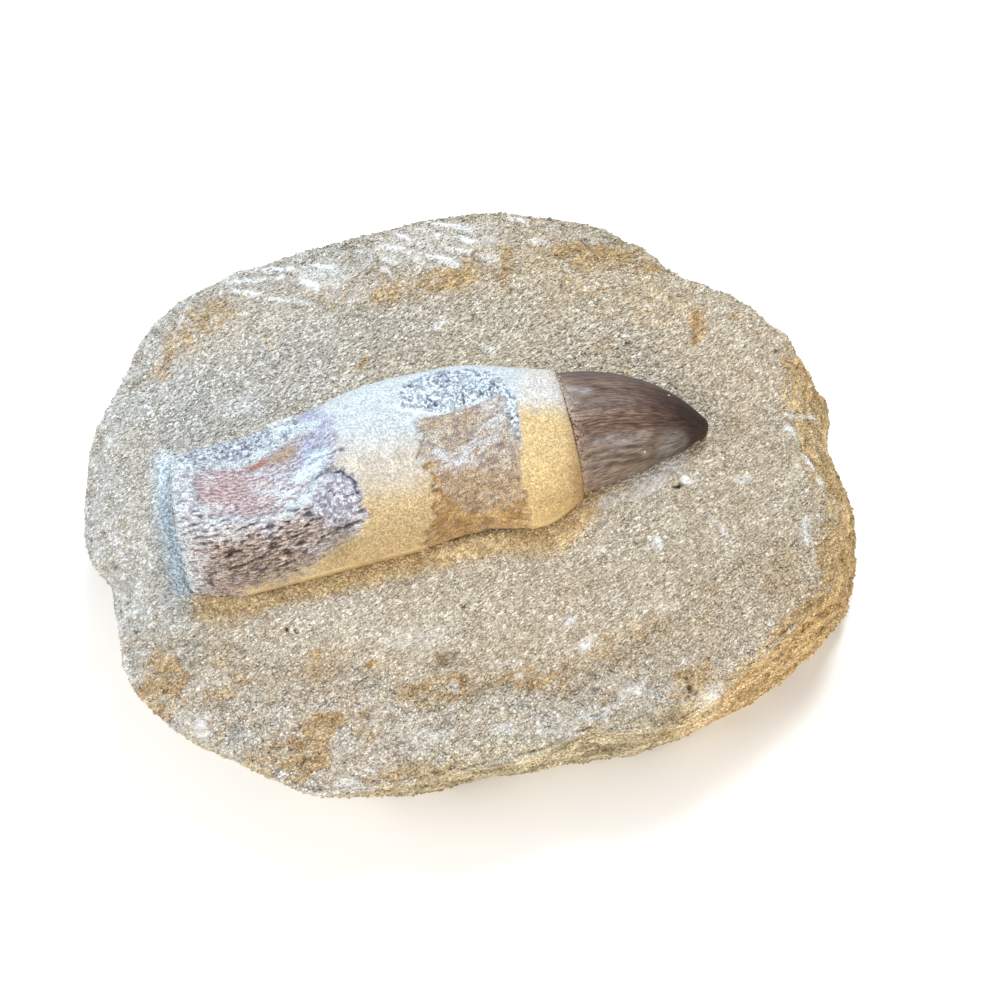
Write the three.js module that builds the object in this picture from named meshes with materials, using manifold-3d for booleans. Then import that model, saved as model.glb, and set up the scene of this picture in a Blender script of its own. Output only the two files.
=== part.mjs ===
// A fossil mosasaur tooth lying half sunk in a slab of its own sandy phosphate rock.
//
// Three solids: the rock slab with the hollow that holds the tooth, the long bony root, and the
// dark enamelled crown at the root's right-hand end. The slab is broken out of its bed, with a
// dressed face round the tooth, a chiselled slope along the back and rough bedding along the
// front. Its underside is cut flat, and it rests there.
//
// Millimetres, +Z up. +X runs from the root's broken end towards the crown's tip, and +Y towards
// the chiselled slope. The origin is on the underside, at the middle of the slab's outline box.
import * as THREE from "three";
import { ImprovedNoise } from "three/addons/math/ImprovedNoise.js";
import { mergeVertices } from "three/addons/utils/BufferGeometryUtils.js";
import Module from "manifold-3d";

const wasm = await Module();
wasm.setup();

// Driving dimensions of the slab
const slabTop = 26; // underside to the dressed face
const skirtHeight = 5; // underside to where the broken sides reach furthest out
const footInset = 2; // the worn lower edge stands in from the skirt
const ledgeDepth = 0.4; // of the bedding planes that stand out of the sides
const breakDepth = 1; // of the lumps and dents on the sides
const directions = 92; // points round the slab
const topRings = 19;
const wallLevels = 6;

// Driving dimensions of the tooth
const fitGap = 0.3; // between the tooth and its hollow, and across the seam of root and crown
const visiblePoints = 36; // of each section of the tooth, above its widest line
const hiddenPoints = 9; // below it, inside the rock
const rootSteps = 29;
const crownSteps = 14;
const rootSquareness = 2.25; // of its sections: 2 is an ellipse
const crownSquareness = 1.9;
const endTurn = 10; // degrees that the root's broken end faces away from -X
const endWear = 0.5; // how far the broken end's face stands out of its worn edge

// The rim of the slab's top face, seen from above, anticlockwise from the right
const rimOutline = [
  [58, 7], [56.6, 13], [56.8, 19], [57.3, 24], [57.6, 27], [53, 31.6], [48.8, 35.8], [42.6, 38.6],
  [35.5, 41.7], [30.7, 47.7], [21.5, 53.2], [10.5, 55.4], [0, 56.4], [-9.2, 55.2], [-21, 52.1],
  [-30.8, 49.4], [-40.5, 46], [-49.8, 42.5], [-57.8, 37.4], [-62.7, 32], [-66.1, 25.8],
  [-69, 17], [-71.5, 10], [-72.2, 3], [-72.2, -4], [-71.7, -11], [-69.9, -14.8], [-66.3, -18],
  [-65.7, -23], [-64.5, -28.8], [-63.6, -35.2], [-57.4, -42.1], [-51.4, -46], [-46, -48.5],
  [-41, -51], [-36.5, -53], [-30.2, -56.2], [-18, -55.1], [-6, -53], [3.5, -51.6], [11, -49.3],
  [16.5, -47], [20, -45.5],
  [24, -46], [31.5, -45], [35.5, -43.5], [41.5, -40], [45.5, -36], [52, -30], [59.5, -23],
  [62.5, -18.5], [64, -9], [63.5, -3], [60.5, 2],
];

// The skirt: where the broken sides reach furthest out, low down. It flares on the right, and is
// tucked under on the left and at the back.
const skirtOutline = [
  [68.2, 7], [66, 13], [66.9, 19], [66, 24], [60.8, 29], [55, 33.5], [47, 37], [38, 40.5], [20, 48],
  [0, 52], [-20, 48], [-40, 42], [-55, 33], [-63, 22], [-68, 10], [-69, -4], [-67, -13],
  [-63.5, -20], [-60, -31], [-52, -41.5], [-40, -48], [-31, -51], [-22, -53], [-12, -53],
  [-3, -50.7], [4, -49.4], [6.5, -49.8], [11.5, -48.2], [21, -47.1], [29, -45.5], [35.5, -43.2],
  [45, -38.6], [51.5, -35.3], [61.5, -27], [68.3, -18], [70.4, -7], [70.6, -1.4],
];

// The tooth's plan: at each station the far edge, the near edge, the height of the widest line
// above the dressed face, and how far the section rises above that line and sinks below it
const rootStations = [
  { far: [-55.2, 3.6], near: [-51, -21], line: 0, rise: 12.2, sink: 10.5 },
  { far: [-48.2, 5.6], near: [-44.3, -21.9], line: 0, rise: 13, sink: 11 },
  { far: [-40.7, 7.8], near: [-36.1, -20.2], line: 0, rise: 13.4, sink: 11.5 },
  { far: [-32.7, 11.6], near: [-27.7, -18.1], line: 0, rise: 13.8, sink: 12 },
  { far: [-24.7, 15.8], near: [-19.1, -15.6], line: 0, rise: 14.5, sink: 12.5 },
  { far: [-15.7, 18.7], near: [-11.5, -13.6], line: 0, rise: 15, sink: 12.8 },
  { far: [-7.7, 20.2], near: [-4.7, -11.2], line: 0, rise: 15, sink: 12.5 },
  { far: [0.3, 20.8], near: [1.9, -9.6], line: 0, rise: 14.6, sink: 12 },
  { far: [6.3, 20.6], near: [7.9, -9.5], line: 0, rise: 14.1, sink: 11.5 },
  { far: [9.9, 20.3], near: [12.1, -8.6], line: 0.2, rise: 13.6, sink: 11 },
  { far: [11.5, 20.1], near: [15.6, -6.1], line: 0.4, rise: 13.1, sink: 10 },
  { far: [12.2, 20], near: [18.1, -3.7], line: 0.6, rise: 12.5, sink: 9.4 },
];
const crownStations = [
  { far: [12.5, 19.8], near: [18.5, -2.7], line: 0.6, rise: 12, sink: 8.8 },
  { far: [18.5, 20.3], near: [22, -1.3], line: 0.7, rise: 11.5, sink: 8.4 },
  { far: [24.3, 19.7], near: [25.7, 0.3], line: 0.9, rise: 10.5, sink: 7.6 },
  { far: [29.8, 18.2], near: [29.7, 1.9], line: 1.2, rise: 9, sink: 6.6 },
  { far: [34.3, 16], near: [33.7, 4], line: 1.6, rise: 7.1, sink: 5.2 },
  { far: [37.8, 13.3], near: [37.2, 5.9], line: 2, rise: 5, sink: 3.8 },
  { far: [40.1, 11.1], near: [39.6, 7.3], line: 2.3, rise: 2.9, sink: 2.2 },
];
const crownTip = [41, 9.2, 2.4]; // the last figure is above the dressed face

const noise = new ImprovedNoise();
const { lerp, smoothstep, degToRad, radToDeg } = THREE.MathUtils;

// Soft lumps, from about -1 to 1, each about as wide as size
function lumps(x, y, z, size) {
  return 1.6 * noise.noise(x / size, y / size, z / size);
}

// 1 inside an ellipse on the plan, falling softly to 0 at its edge
function patch(x, y, { at, half, turn = 0 }) {
  const angle = degToRad(turn);
  const [dx, dy] = [x - at[0], y - at[1]];
  const along = (dx * Math.cos(angle) + dy * Math.sin(angle)) / half[0];
  const across = (dy * Math.cos(angle) - dx * Math.sin(angle)) / half[1];
  return 1 - smoothstep(Math.hypot(along, across), 0.55, 1.1);
}

// A closed outline read as the radius in each direction
function radiusInDirection(outline) {
  const corners = outline.map(([x, y]) => new THREE.Vector3(x, y, 0));
  const samplesPerCorner = 24;
  const curve = new THREE.CatmullRomCurve3(corners, true, "centripetal");
  const samples = curve
    .getPoints(corners.length * samplesPerCorner)
    .map((p) => ({ angle: Math.atan2(p.y, p.x), radius: Math.hypot(p.x, p.y) }))
    .sort((a, b) => a.angle - b.angle);
  return (angle) => {
    const wrapped = Math.atan2(Math.sin(angle), Math.cos(angle));
    const found = samples.findIndex((s) => s.angle > wrapped);
    const next = samples[found < 0 ? 0 : found];
    const last = samples[(found < 1 ? samples.length : found) - 1];
    const turn = 2 * Math.PI;
    const span = (next.angle - last.angle + turn) % turn || 1;
    return lerp(last.radius, next.radius, ((wrapped - last.angle + turn) % turn) / span);
  };
}

// How strongly a direction, in degrees, belongs to a stretch of the slab's edge
function stretch(angle, from, to, soft = 14) {
  const middle = (from + to) / 2;
  const off = Math.abs(((angle - middle + 900) % 360) - 180);
  return 1 - smoothstep(off, (to - from) / 2 - soft / 2, (to - from) / 2 + soft / 2);
}

const rimRadius = radiusInDirection(rimOutline);
const skirtRadius = radiusInDirection(skirtOutline);

// Short flat scoops that the chisel left along the back slope, in three staggered rows
const scoops = [];
for (let row = 0; row < 3; row++) {
  for (let k = 0; k < 7; k++) {
    const turn = lerp(126, 76, (k + 0.5 * (row % 2)) / 6.5);
    const reach = rimRadius(degToRad(turn)) - 3.2 - 4.4 * row;
    scoops.push({
      at: [reach * Math.cos(degToRad(turn)), reach * Math.sin(degToRad(turn))],
      half: [5.2, 2.3],
      turn: turn - 92,
      depth: 0.75 + 0.25 * Math.sin(5 * k + row),
    });
  }
}

// Scars where flakes broke out of the rough front, and knobs that stand proud of it
const scars = [
  { at: [-31, -44], half: [11, 4], turn: 48, depth: 1.3 },
  { at: [-3.5, -35], half: [7, 2.6], turn: -22, depth: 1 },
  { at: [14, -36.5], half: [8, 2.8], turn: -8, depth: 1.1 },
  { at: [43, -33], half: [5, 2.4], turn: 40, depth: 1 },
  { at: [-57, -32], half: [6, 3.4], turn: -55, depth: 0.9 },
  { at: [52, 30], half: [5, 2.6], turn: -62, depth: 0.8 },
];
const knobs = [
  { at: [-18, -40], half: [5, 3.4], turn: 20, height: 0.9 },
  { at: [3, -42], half: [6, 3.2], turn: -10, height: 0.8 },
  { at: [26, -37], half: [5.5, 3], turn: 15, height: 0.8 },
  { at: [38, -27], half: [5, 3], turn: 30, height: 0.6 },
  { at: [-46, -38], half: [5, 3.6], turn: -35, height: 0.8 },
  { at: [40, 33], half: [6, 3], turn: -35, height: 0.7 },
  { at: [-49, 33], half: [7, 3], turn: 38, height: 0.7 },
];

// The slopes by which the face falls to its rim: the bearings in degrees that they lie between,
// how far in they start, how far they fall and how hollow they are
const slopes = [
  { from: -180, to: 540, width: 3, fall: 0.7, hollow: 2 }, // the worn rim all round
  { from: 55, to: 165, width: 15, fall: 5.2, hollow: 1.4 }, // chiselled, along the back
  { from: 160, to: 235, width: 9, fall: 2.4, hollow: 1.6 }, // on the left
  { from: 215, to: 262, width: 15, fall: 3.4, hollow: 1.3 }, // broken, at the front left
];
const browLine = -31.5; // in Y: in front of it the face steps down to rough bedding
const browStep = 1.1;
const beddingFall = 0.055; // of the rough bedding towards the front, for each millimetre
const smoothRelief = 0.16; // height of the lumps on the dressed face
const roughRelief = 0.75; // and on the rough bedding

// The height of the slab's face, edge being the distance in from the rim
function faceHeight(x, y, edge) {
  const bearing = radToDeg(Math.atan2(y, x));
  const falls = slopes.map(
    ({ from, to, width, fall, hollow }) =>
      fall * stretch(bearing, from, to) * Math.max(0, 1 - edge / width) ** hollow,
  );
  const past = browLine + 1.6 * Math.sin(x / 8) - 0.05 * x - y;
  const rough = smoothstep(past, -0.8, 2.2);
  const chiselled = 0.7 * smoothstep(falls[1], 0, 2);
  let relief = lerp(smoothRelief, roughRelief, Math.max(rough, chiselled));
  relief *= lumps(x, y, 3, 6.5) + 0.5 * lumps(x, y, 9, 3.4);
  scoops.forEach((s) => (relief -= s.depth * patch(x, y, s)));
  scars.forEach((s) => (relief -= s.depth * patch(x, y, s)));
  knobs.forEach((k) => (relief += k.height * patch(x, y, k)));
  const drop = falls.reduce((sum, fall) => sum + fall, 0);
  return slabTop - drop - rough * (browStep + beddingFall * Math.max(0, past)) + relief;
}

// A closed surface through rings of points, with a fan over each open end
function skin(rings, startPoint, endPoint) {
  const count = rings[0].length;
  const positions = [startPoint, ...rings.flat(), endPoint].flat();
  const at = (ring, k) => 1 + ring * count + (k % count);
  const last = rings.length * count + 1;
  const faces = [];
  for (let k = 0; k < count; k++) {
    faces.push(0, at(0, k), at(0, k + 1));
    faces.push(last, at(rings.length - 1, k + 1), at(rings.length - 1, k));
    for (let ring = 0; ring < rings.length - 1; ring++) {
      faces.push(at(ring, k), at(ring + 1, k), at(ring + 1, k + 1));
      faces.push(at(ring, k), at(ring + 1, k + 1), at(ring, k + 1));
    }
  }
  const geometry = new THREE.BufferGeometry();
  geometry.setAttribute("position", new THREE.Float32BufferAttribute(positions, 3));
  geometry.setIndex(faces);
  return geometry;
}

// The slab before the tooth's hollow is cut: face rings from the middle out, then the broken
// sides down to the skirt and the foot. Bedding planes stand out of the sides as low ledges.
function slabBlock() {
  const angles = Array.from({ length: directions }, (_, k) => (2 * Math.PI * k) / directions);
  const rings = [];
  for (let ring = 1; ring <= topRings; ring++) {
    const share = (ring / topRings) ** 0.82;
    rings.push(
      angles.map((angle) => {
        const rim = rimRadius(angle);
        const [x, y] = [rim * share * Math.cos(angle), rim * share * Math.sin(angle)];
        return [x, y, faceHeight(x, y, rim * (1 - share))];
      }),
    );
  }
  const rimRing = rings.at(-1);
  for (let level = 1; level <= wallLevels; level++) {
    const down = level / wallLevels;
    const proud = level < wallLevels ? ledgeDepth * (-1) ** level : 0;
    rings.push(
      angles.map((angle, k) => {
        const [rimX, rimY, rimZ] = rimRing[k];
        const broad = lumps(rimX, rimY, 14 * down, 12);
        const breaks = broad + 0.5 * lumps(rimX, rimY, 14 * down, 6);
        const ledges = proud * (1 + 0.6 * lumps(rimX, rimY, 60, 20));
        const shape = lerp(Math.hypot(rimX, rimY), skirtRadius(angle), down ** 0.9);
        const radius = shape + ledges + breakDepth * (1.15 - down) * breaks;
        const height = lerp(rimZ, skirtHeight, down) + (down < 1 ? 0.5 * broad : 0);
        return [radius * Math.cos(angle), radius * Math.sin(angle), height];
      }),
    );
  }
  rings.push(
    angles.map((angle) => {
      const radius = skirtRadius(angle) - footInset;
      return [radius * Math.cos(angle), radius * Math.sin(angle), 0];
    }),
  );
  return skin(rings, [0, 0, faceHeight(0, 0, 60)], [0, 0, 0]);
}

// Stations read at any share of the way along, as one smooth run
function stationAt(stations, share) {
  const through = (read) => {
    const points = stations.map((s) => new THREE.Vector3(...read(s)));
    return new THREE.CatmullRomCurve3(points, false, "centripetal").getPoint(share);
  };
  const far = through((s) => [...s.far, 0]);
  const near = through((s) => [...s.near, 0]);
  const heights = through((s) => [s.line, s.rise, s.sink]);
  return { far, near, line: heights.x, rise: heights.y, sink: heights.z };
}

// The angles of one section, anticlockwise from its near edge as seen from the crown's tip, with
// most of the points on the half that shows
function sectionAngles(shown, hidden) {
  return [
    ...Array.from({ length: shown }, (_, k) => (Math.PI * k) / shown),
    ...Array.from({ length: hidden }, (_, k) => Math.PI * (1 + k / hidden)),
  ];
}

// One ring of the tooth: a rounded section standing on the line from near edge to far edge.
// grow widens it on every side, and relief adds to its height where it shows.
function sectionRing(station, angles, { square, grow, relief }) {
  const middle = station.near.clone().add(station.far).multiplyScalar(0.5);
  const across = station.far.clone().sub(station.near).multiplyScalar(0.5);
  const half = across.length() + grow;
  across.normalize();
  const bend = (value) => Math.sign(value) * Math.abs(value) ** (2 / square);
  return angles.map((angle) => {
    const side = -half * bend(Math.cos(angle));
    const up = bend(Math.sin(angle));
    const height = (up > 0 ? station.rise : station.sink) + grow;
    const [x, y] = [middle.x + across.x * side, middle.y + across.y * side];
    const shape = 1 + relief(x, y, angle) / height;
    const swollen = up > 0 ? shape : 1;
    return [
      middle.x + across.x * side * lerp(1, swollen, 0.5),
      middle.y + across.y * side * lerp(1, swollen, 0.5),
      slabTop + station.line + height * up * swollen,
    ];
  });
}

// The root's surface where it shows. A crust of fibrous bone covers its left third and a patch
// behind the middle; between them lies smooth dentine, and in front a hollow still holds rock.
const boneCrust = [
  { at: [-42, -7], half: [20, 19], turn: 14 },
  { at: [-25.5, -2], half: [7, 6], turn: 0 },
  { at: [-1, 14.5], half: [13, 6.5], turn: -6 },
];
const brokenWindow = { at: [-39, -0.5], half: [14, 6.5], turn: 16 };
const rockHollow = { at: [-0.5, 0], half: [9.5, 12], turn: 6 };
const lowerHollow = { at: [1.5, -9], half: [9, 5.5], turn: 8 };

function rootRelief(x, y, angle) {
  const crust = Math.max(...boneCrust.map((c) => patch(x, y, c)));
  const fibres = 0.28 * Math.sin(angle * 26 + 1.5 * lumps(x, y, 5, 9));
  let relief = crust * (0.55 + fibres + 0.4 * lumps(x, y, 1, 4));
  relief += 0.18 * lumps(x, y, 2, 8);
  relief -= 1.5 * patch(x, y, brokenWindow);
  relief -= 1.1 * patch(x, y, rockHollow) * (1 - crust * 0.6);
  relief -= 1.2 * patch(x, y, lowerHollow);
  return relief;
}

// Fine ridges run up the enamel and die out before the tip
function crownRelief(x, y, angle) {
  const fromTip = Math.hypot(crownTip[0] - x, crownTip[1] - y);
  return 0.15 * Math.cos(angle * visiblePoints) * smoothstep(fromTip, 3, 16);
}

function rootBody(grow) {
  const angles = sectionAngles(visiblePoints, hiddenPoints);
  const rings = [];
  for (let step = 0; step <= rootSteps; step++) {
    const station = stationAt(rootStations, step / rootSteps);
    const shape = { square: rootSquareness, grow, relief: rootRelief };
    rings.push(sectionRing(station, angles, shape));
  }
  const ends = brokenEnd(rings[0], grow);
  return skin([...ends, ...rings], middleOf(ends[0]), middleOf(rings.at(-1)));
}

// The broken end of the root: a worn edge round an uneven face that is a little sunk. The hollow
// for it is plain and deeper by the wear.
function brokenEnd(edge, grow) {
  const middle = middleOf(edge);
  const ring = (share, outward) =>
    edge.map((p) => [
      lerp(middle[0], p[0], share) - outward * Math.cos(degToRad(endTurn)),
      lerp(middle[1], p[1], share) - outward * Math.sin(degToRad(endTurn)),
      lerp(middle[2], p[2], share),
    ]);
  const face = ring(0.55, -0.3);
  face.forEach((p) => (p[0] += 0.9 * lumps(...p, 5)));
  return grow ? [ring(1, endWear + grow)] : [face, ring(0.93, endWear)];
}

function crownBody(grow) {
  const angles = sectionAngles(visiblePoints, hiddenPoints);
  const rings = [];
  for (let step = 0; step <= crownSteps; step++) {
    const station = stationAt(crownStations, step / crownSteps);
    const shape = { square: crownSquareness, grow, relief: crownRelief };
    rings.push(sectionRing(station, angles, shape));
  }
  const [x, y, above] = crownTip;
  return skin(rings, middleOf(rings[0]), [x + grow, y, slabTop + above]);
}

function middleOf(ring) {
  return [0, 1, 2].map((axis) => ring.reduce((sum, p) => sum + p[axis], 0) / ring.length);
}

// A closed geometry as a solid for cutting, and back
function toSolid(geometry) {
  const welded = mergeVertices(geometry, 1e-4);
  return new wasm.Manifold(
    new wasm.Mesh({
      numProp: 3,
      vertProperties: welded.attributes.position.array,
      triVerts: new Uint32Array(welded.index.array),
    }),
  );
}

function toGeometry(solid) {
  const mesh = solid.getMesh();
  const geometry = new THREE.BufferGeometry();
  geometry.setAttribute("position", new THREE.BufferAttribute(mesh.vertProperties, 3));
  geometry.setIndex(new THREE.BufferAttribute(mesh.triVerts, 1));
  return geometry;
}

function piece(name, geometry, { color, roughness, metalness = 0 }) {
  const material = new THREE.MeshStandardMaterial({ color, roughness, metalness });
  material.flatShading = true;
  const mesh = new THREE.Mesh(geometry, material);
  mesh.name = name;
  return mesh;
}

const slabSolid = toSolid(slabBlock())
  .subtract(toSolid(rootBody(fitGap)))
  .subtract(toSolid(crownBody(fitGap)));

const tooth = new THREE.Group();
tooth.add(
  piece("matrix_slab", toGeometry(slabSolid), { color: 0xc3ad8c, roughness: 0.95 }),
  piece("tooth_root", rootBody(0), { color: 0xd8c7a8, roughness: 0.85 }),
  piece("tooth_crown", crownBody(0), { color: 0x5a463d, roughness: 0.45 }),
);

// The outline box is centred on the origin
const box = new THREE.Box3().setFromObject(tooth);
const centre = box.getCenter(new THREE.Vector3());
tooth.position.set(-centre.x, -centre.y, 0);

export default tooth;
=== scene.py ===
# %% [markdown]
# # A fossil mosasaur tooth on its slab of rock
# The tooth lies half sunk in a slab of sandy phosphate rock. The solids from the CAD model give
# the true sizes and places. This lesson gives them their real surfaces: the gritty rock, the
# porous bone of the root and the ridged enamel of the crown.

# %% Load the solids
import math

import bpy
import numpy as np
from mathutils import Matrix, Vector
from mathutils.bvhtree import BVHTree
from mathutils.kdtree import KDTree


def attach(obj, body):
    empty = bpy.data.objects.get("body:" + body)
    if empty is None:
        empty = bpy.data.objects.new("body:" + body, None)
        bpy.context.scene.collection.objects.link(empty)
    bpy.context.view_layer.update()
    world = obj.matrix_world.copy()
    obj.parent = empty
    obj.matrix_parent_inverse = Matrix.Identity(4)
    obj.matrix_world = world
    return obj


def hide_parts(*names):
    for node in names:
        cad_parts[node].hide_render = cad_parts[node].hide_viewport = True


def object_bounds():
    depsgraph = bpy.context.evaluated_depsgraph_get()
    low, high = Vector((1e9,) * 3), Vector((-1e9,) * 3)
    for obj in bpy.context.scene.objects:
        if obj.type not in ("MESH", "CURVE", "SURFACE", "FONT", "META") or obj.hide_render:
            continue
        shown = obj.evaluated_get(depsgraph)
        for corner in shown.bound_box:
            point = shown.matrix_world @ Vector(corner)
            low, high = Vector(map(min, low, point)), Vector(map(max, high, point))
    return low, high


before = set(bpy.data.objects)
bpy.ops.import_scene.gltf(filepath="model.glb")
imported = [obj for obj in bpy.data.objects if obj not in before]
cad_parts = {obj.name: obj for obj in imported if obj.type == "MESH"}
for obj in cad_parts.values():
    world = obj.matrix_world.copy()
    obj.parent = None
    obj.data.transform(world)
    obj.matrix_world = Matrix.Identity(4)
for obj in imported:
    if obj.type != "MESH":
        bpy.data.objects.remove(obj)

cad_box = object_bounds()
MM = 0.001
slab_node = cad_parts["matrix_slab"]
root_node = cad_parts["tooth_root"]
crown_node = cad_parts["tooth_crown"]
box_low, box_high = (np.array(corner) / MM for corner in cad_box)
print("CAD box in mm", box_low.round(1), box_high.round(1))

# %% [markdown]
# ## Light and camera
# The specimen lies on a white table under soft daylight. Cool light comes from behind and above,
# and a warm glow from in front and low down. Three large lamps make that. The camera looks down
# steeply, as somebody does who bends over a specimen.

# %% Camera
face_height = 26.0  # of the dressed face above the ground, in mm
look_at = np.array([4.1, -3.6, face_height])
look_down = math.radians(72)
camera_distance = 400.0
view_width = 180.0  # that the picture spans at look_at
sensor_width = 36.0

camera_data = bpy.data.cameras.new("camera")
camera_data.sensor_width = sensor_width
camera_data.lens = sensor_width * camera_distance / view_width
camera = bpy.data.objects.new("camera", camera_data)
bpy.context.scene.collection.objects.link(camera)
back_from = np.array([0, -math.cos(look_down), math.sin(look_down)])
camera.location = Vector((look_at + camera_distance * back_from) * MM)
camera.rotation_euler = (math.pi / 2 - look_down, 0, 0)
bpy.context.scene.camera = camera
print("camera at", [round(c, 3) for c in camera.location], "lens", camera_data.lens)

# %% Lamps and table


def soft_lamp(name, place, size, watts, colour):
    """A square lamp at place, in mm, that faces the specimen"""
    lamp_data = bpy.data.lights.new(name, "AREA")
    lamp_data.size = size * MM
    lamp_data.energy = watts
    lamp_data.color = colour
    lamp = bpy.data.objects.new(name, lamp_data)
    bpy.context.scene.collection.objects.link(lamp)
    lamp.location = Vector(place) * MM
    toward = Vector(look_at * MM) - lamp.location
    lamp.rotation_euler = toward.to_track_quat("-Z", "Y").to_euler()


soft_lamp("window_light", (90, 350, 480), 200, 3.6, (0.88, 0.95, 1.0))
soft_lamp("room_light", (-420, -90, 330), 300, 1.75, (0.93, 0.96, 1.0))
soft_lamp("warm_glow", (140, -520, 220), 300, 2.4, (1.0, 0.87, 0.68))

scene_world = bpy.data.worlds.new("room")
bpy.context.scene.world = scene_world
scene_world.use_nodes = True
room = scene_world.node_tree.nodes["Background"]
room.inputs["Color"].default_value = (0.93, 0.96, 1.0, 1)
room.inputs["Strength"].default_value = 0.46

table_mesh = bpy.data.meshes.new("table")
reach = 3.0
corners = [(-reach, -reach, 0), (reach, -reach, 0), (reach, reach, 0), (-reach, reach, 0)]
table_mesh.from_pydata(corners, [], [(0, 1, 2, 3)])
table = bpy.data.objects.new("table", table_mesh)
bpy.context.scene.collection.objects.link(table)
white = bpy.data.materials.new("white_table")
white.use_nodes = True
white_shader = white.node_tree.nodes["Principled BSDF"]
white_shader.inputs["Base Color"].default_value = (0.93, 0.93, 0.93, 1)
white_shader.inputs["Roughness"].default_value = 0.9
table_mesh.materials.append(white)
bpy.context.scene.view_settings.view_transform = "Standard"
print("lamps and table placed")

# %% [markdown]
# ## Natural irregularity
# Rock and bone repeat nothing exactly. Two kinds of noise describe them. Soft noise rises and
# falls smoothly, like worn lumps. Grain cells part space into grains that lie side by side, as
# sand does. Both are worked out for all points at once, and give the same result every run.

# %% Soft noise and grain cells


def random_at(cell, salt):
    """A number from 0 to 1 for each whole-numbered cell, always the same one"""
    x, y, z = cell.T
    mixed = (x * 73856093 ^ y * 19349663 ^ z * 83492791 ^ salt * 39916801) & 0xFFFFFFFF
    mixed = (mixed ^ (mixed >> 15)) * 2246822519 & 0xFFFFFFFF
    mixed = (mixed ^ (mixed >> 13)) * 3266489917 & 0xFFFFFFFF
    return ((mixed ^ (mixed >> 16)) & 0xFFFFFF) / 0xFFFFFF


def soft_noise(points, size, salt=0):
    """Smooth noise, about -1 to 1, whose lumps are about as wide as size (one size or three)"""
    p = points / np.array(size)
    cell = np.floor(p).astype(np.int64)
    inside = p - cell
    ease = inside**3 * (inside * (inside * 6 - 15) + 10)
    total = np.zeros(len(p))
    for corner in np.ndindex(2, 2, 2):
        at = cell + corner
        share = np.prod(np.where(corner, ease, 1 - ease), axis=1)
        slope = np.stack([random_at(at, 3 * salt + k) for k in range(3)], 1) * 2 - 1
        total += share * ((inside - corner) * slope).sum(1)
    return np.clip(1.9 * total, -1, 1)


def layered_noise(points, size, salt=0, layers=3):
    """Soft noise with finer and weaker noise on top"""
    sizes = np.array(size, float)
    made = [soft_noise(points, sizes / 2.1**k, salt + k) / 2**k for k in range(layers)]
    return sum(made) / sum(0.5**k for k in range(layers))


def grain_cells(points, size, salt=0):
    """How deep each point is inside its grain, 0 at the border, and the grain's own number"""
    p = points / np.array(size)
    cell = np.floor(p).astype(np.int64)
    near = np.full(len(p), 9.0)
    next_near = near.copy()
    own = np.zeros(len(p))
    for offset in np.ndindex(3, 3, 3):
        at = cell + offset - 1
        middle = at + np.stack([random_at(at, 5 * salt + k) for k in range(3)], 1)
        distance = np.linalg.norm(p - middle, axis=1)
        closer = distance < near
        next_near = np.where(closer, near, np.minimum(next_near, distance))
        own = np.where(closer, random_at(at, 5 * salt + 4), own)
        near = np.minimum(near, distance)
    return next_near - near, own


def rise(value, low, high):
    """0 below low, 1 above high, and smooth between"""
    t = np.clip((value - low) / (high - low), 0, 1)
    return t * t * (3 - 2 * t)


print("noise at one point", soft_noise(np.array([[1.0, 2.0, 3.0]]), 2.0))

# %% [markdown]
# Stains, chalk and pits each have a place on the specimen. Most are soft ellipses on the plan: a
# middle, two half widths and a turn, in millimetres and degrees. Others follow a line or fill an
# outline.

# %% Marks on the plan


def turned(points, degrees):
    """Points in axes that are turned on the plan, for patterns that lean"""
    cos, sin = math.cos(math.radians(degrees)), math.sin(math.radians(degrees))
    x, y, z = points.T
    return np.stack([x * cos + y * sin, y * cos - x * sin, z], 1)


def soft_ellipse(points, x, y, half_along, half_across, turn=0.0, edge=0.5):
    """1 inside an ellipse on the plan, falling to 0 at its border"""
    along, across, _ = turned(points - np.array([x, y, 0]), turn).T
    along, across = along / half_along, across / half_across
    return 1 - rise(np.hypot(along, across), 1 - edge, 1 + edge)


def strongest(points, marks):
    """The strongest of several ellipses at each point; a mark's last value is its strength"""
    return np.max([mark[-1] * soft_ellipse(points, *mark[:-1]) for mark in marks], axis=0)


def line_distance(points, corners):
    """The distance on the plan from each point to a line through corners"""
    best = np.full(len(points), 1e9)
    for a, b in zip(corners[:-1], corners[1:]):
        a, b = np.array(a, float), np.array(b, float)
        along = b - a
        t = np.clip(((points[:, :2] - a) @ along) / (along @ along), 0, 1)
        best = np.minimum(best, np.linalg.norm(points[:, :2] - a - t[:, None] * along, axis=1))
    return best


def inside_outline(points, corners):
    """The distance on the plan to an outline, positive inside it"""
    x, y = points[:, 0], points[:, 1]
    inside = np.zeros(len(points), bool)
    closed = [*corners, corners[0]]
    for (ax, ay), (bx, by) in zip(closed[:-1], closed[1:]):
        crosses = (ay > y) != (by > y)
        at = (bx - ax) * (y - ay) / ((by - ay) or 1e-9) + ax
        inside ^= crosses & (x < at)
    return np.where(inside, 1, -1) * line_distance(points, closed)


print("marks ready")

# %% [markdown]
# ## Finishes
# Every finish is made of shader nodes. A small helper keeps the lists of nodes short: it adds a
# node, and links or sets each input by its name.

# %% Helpers for finishes


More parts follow.
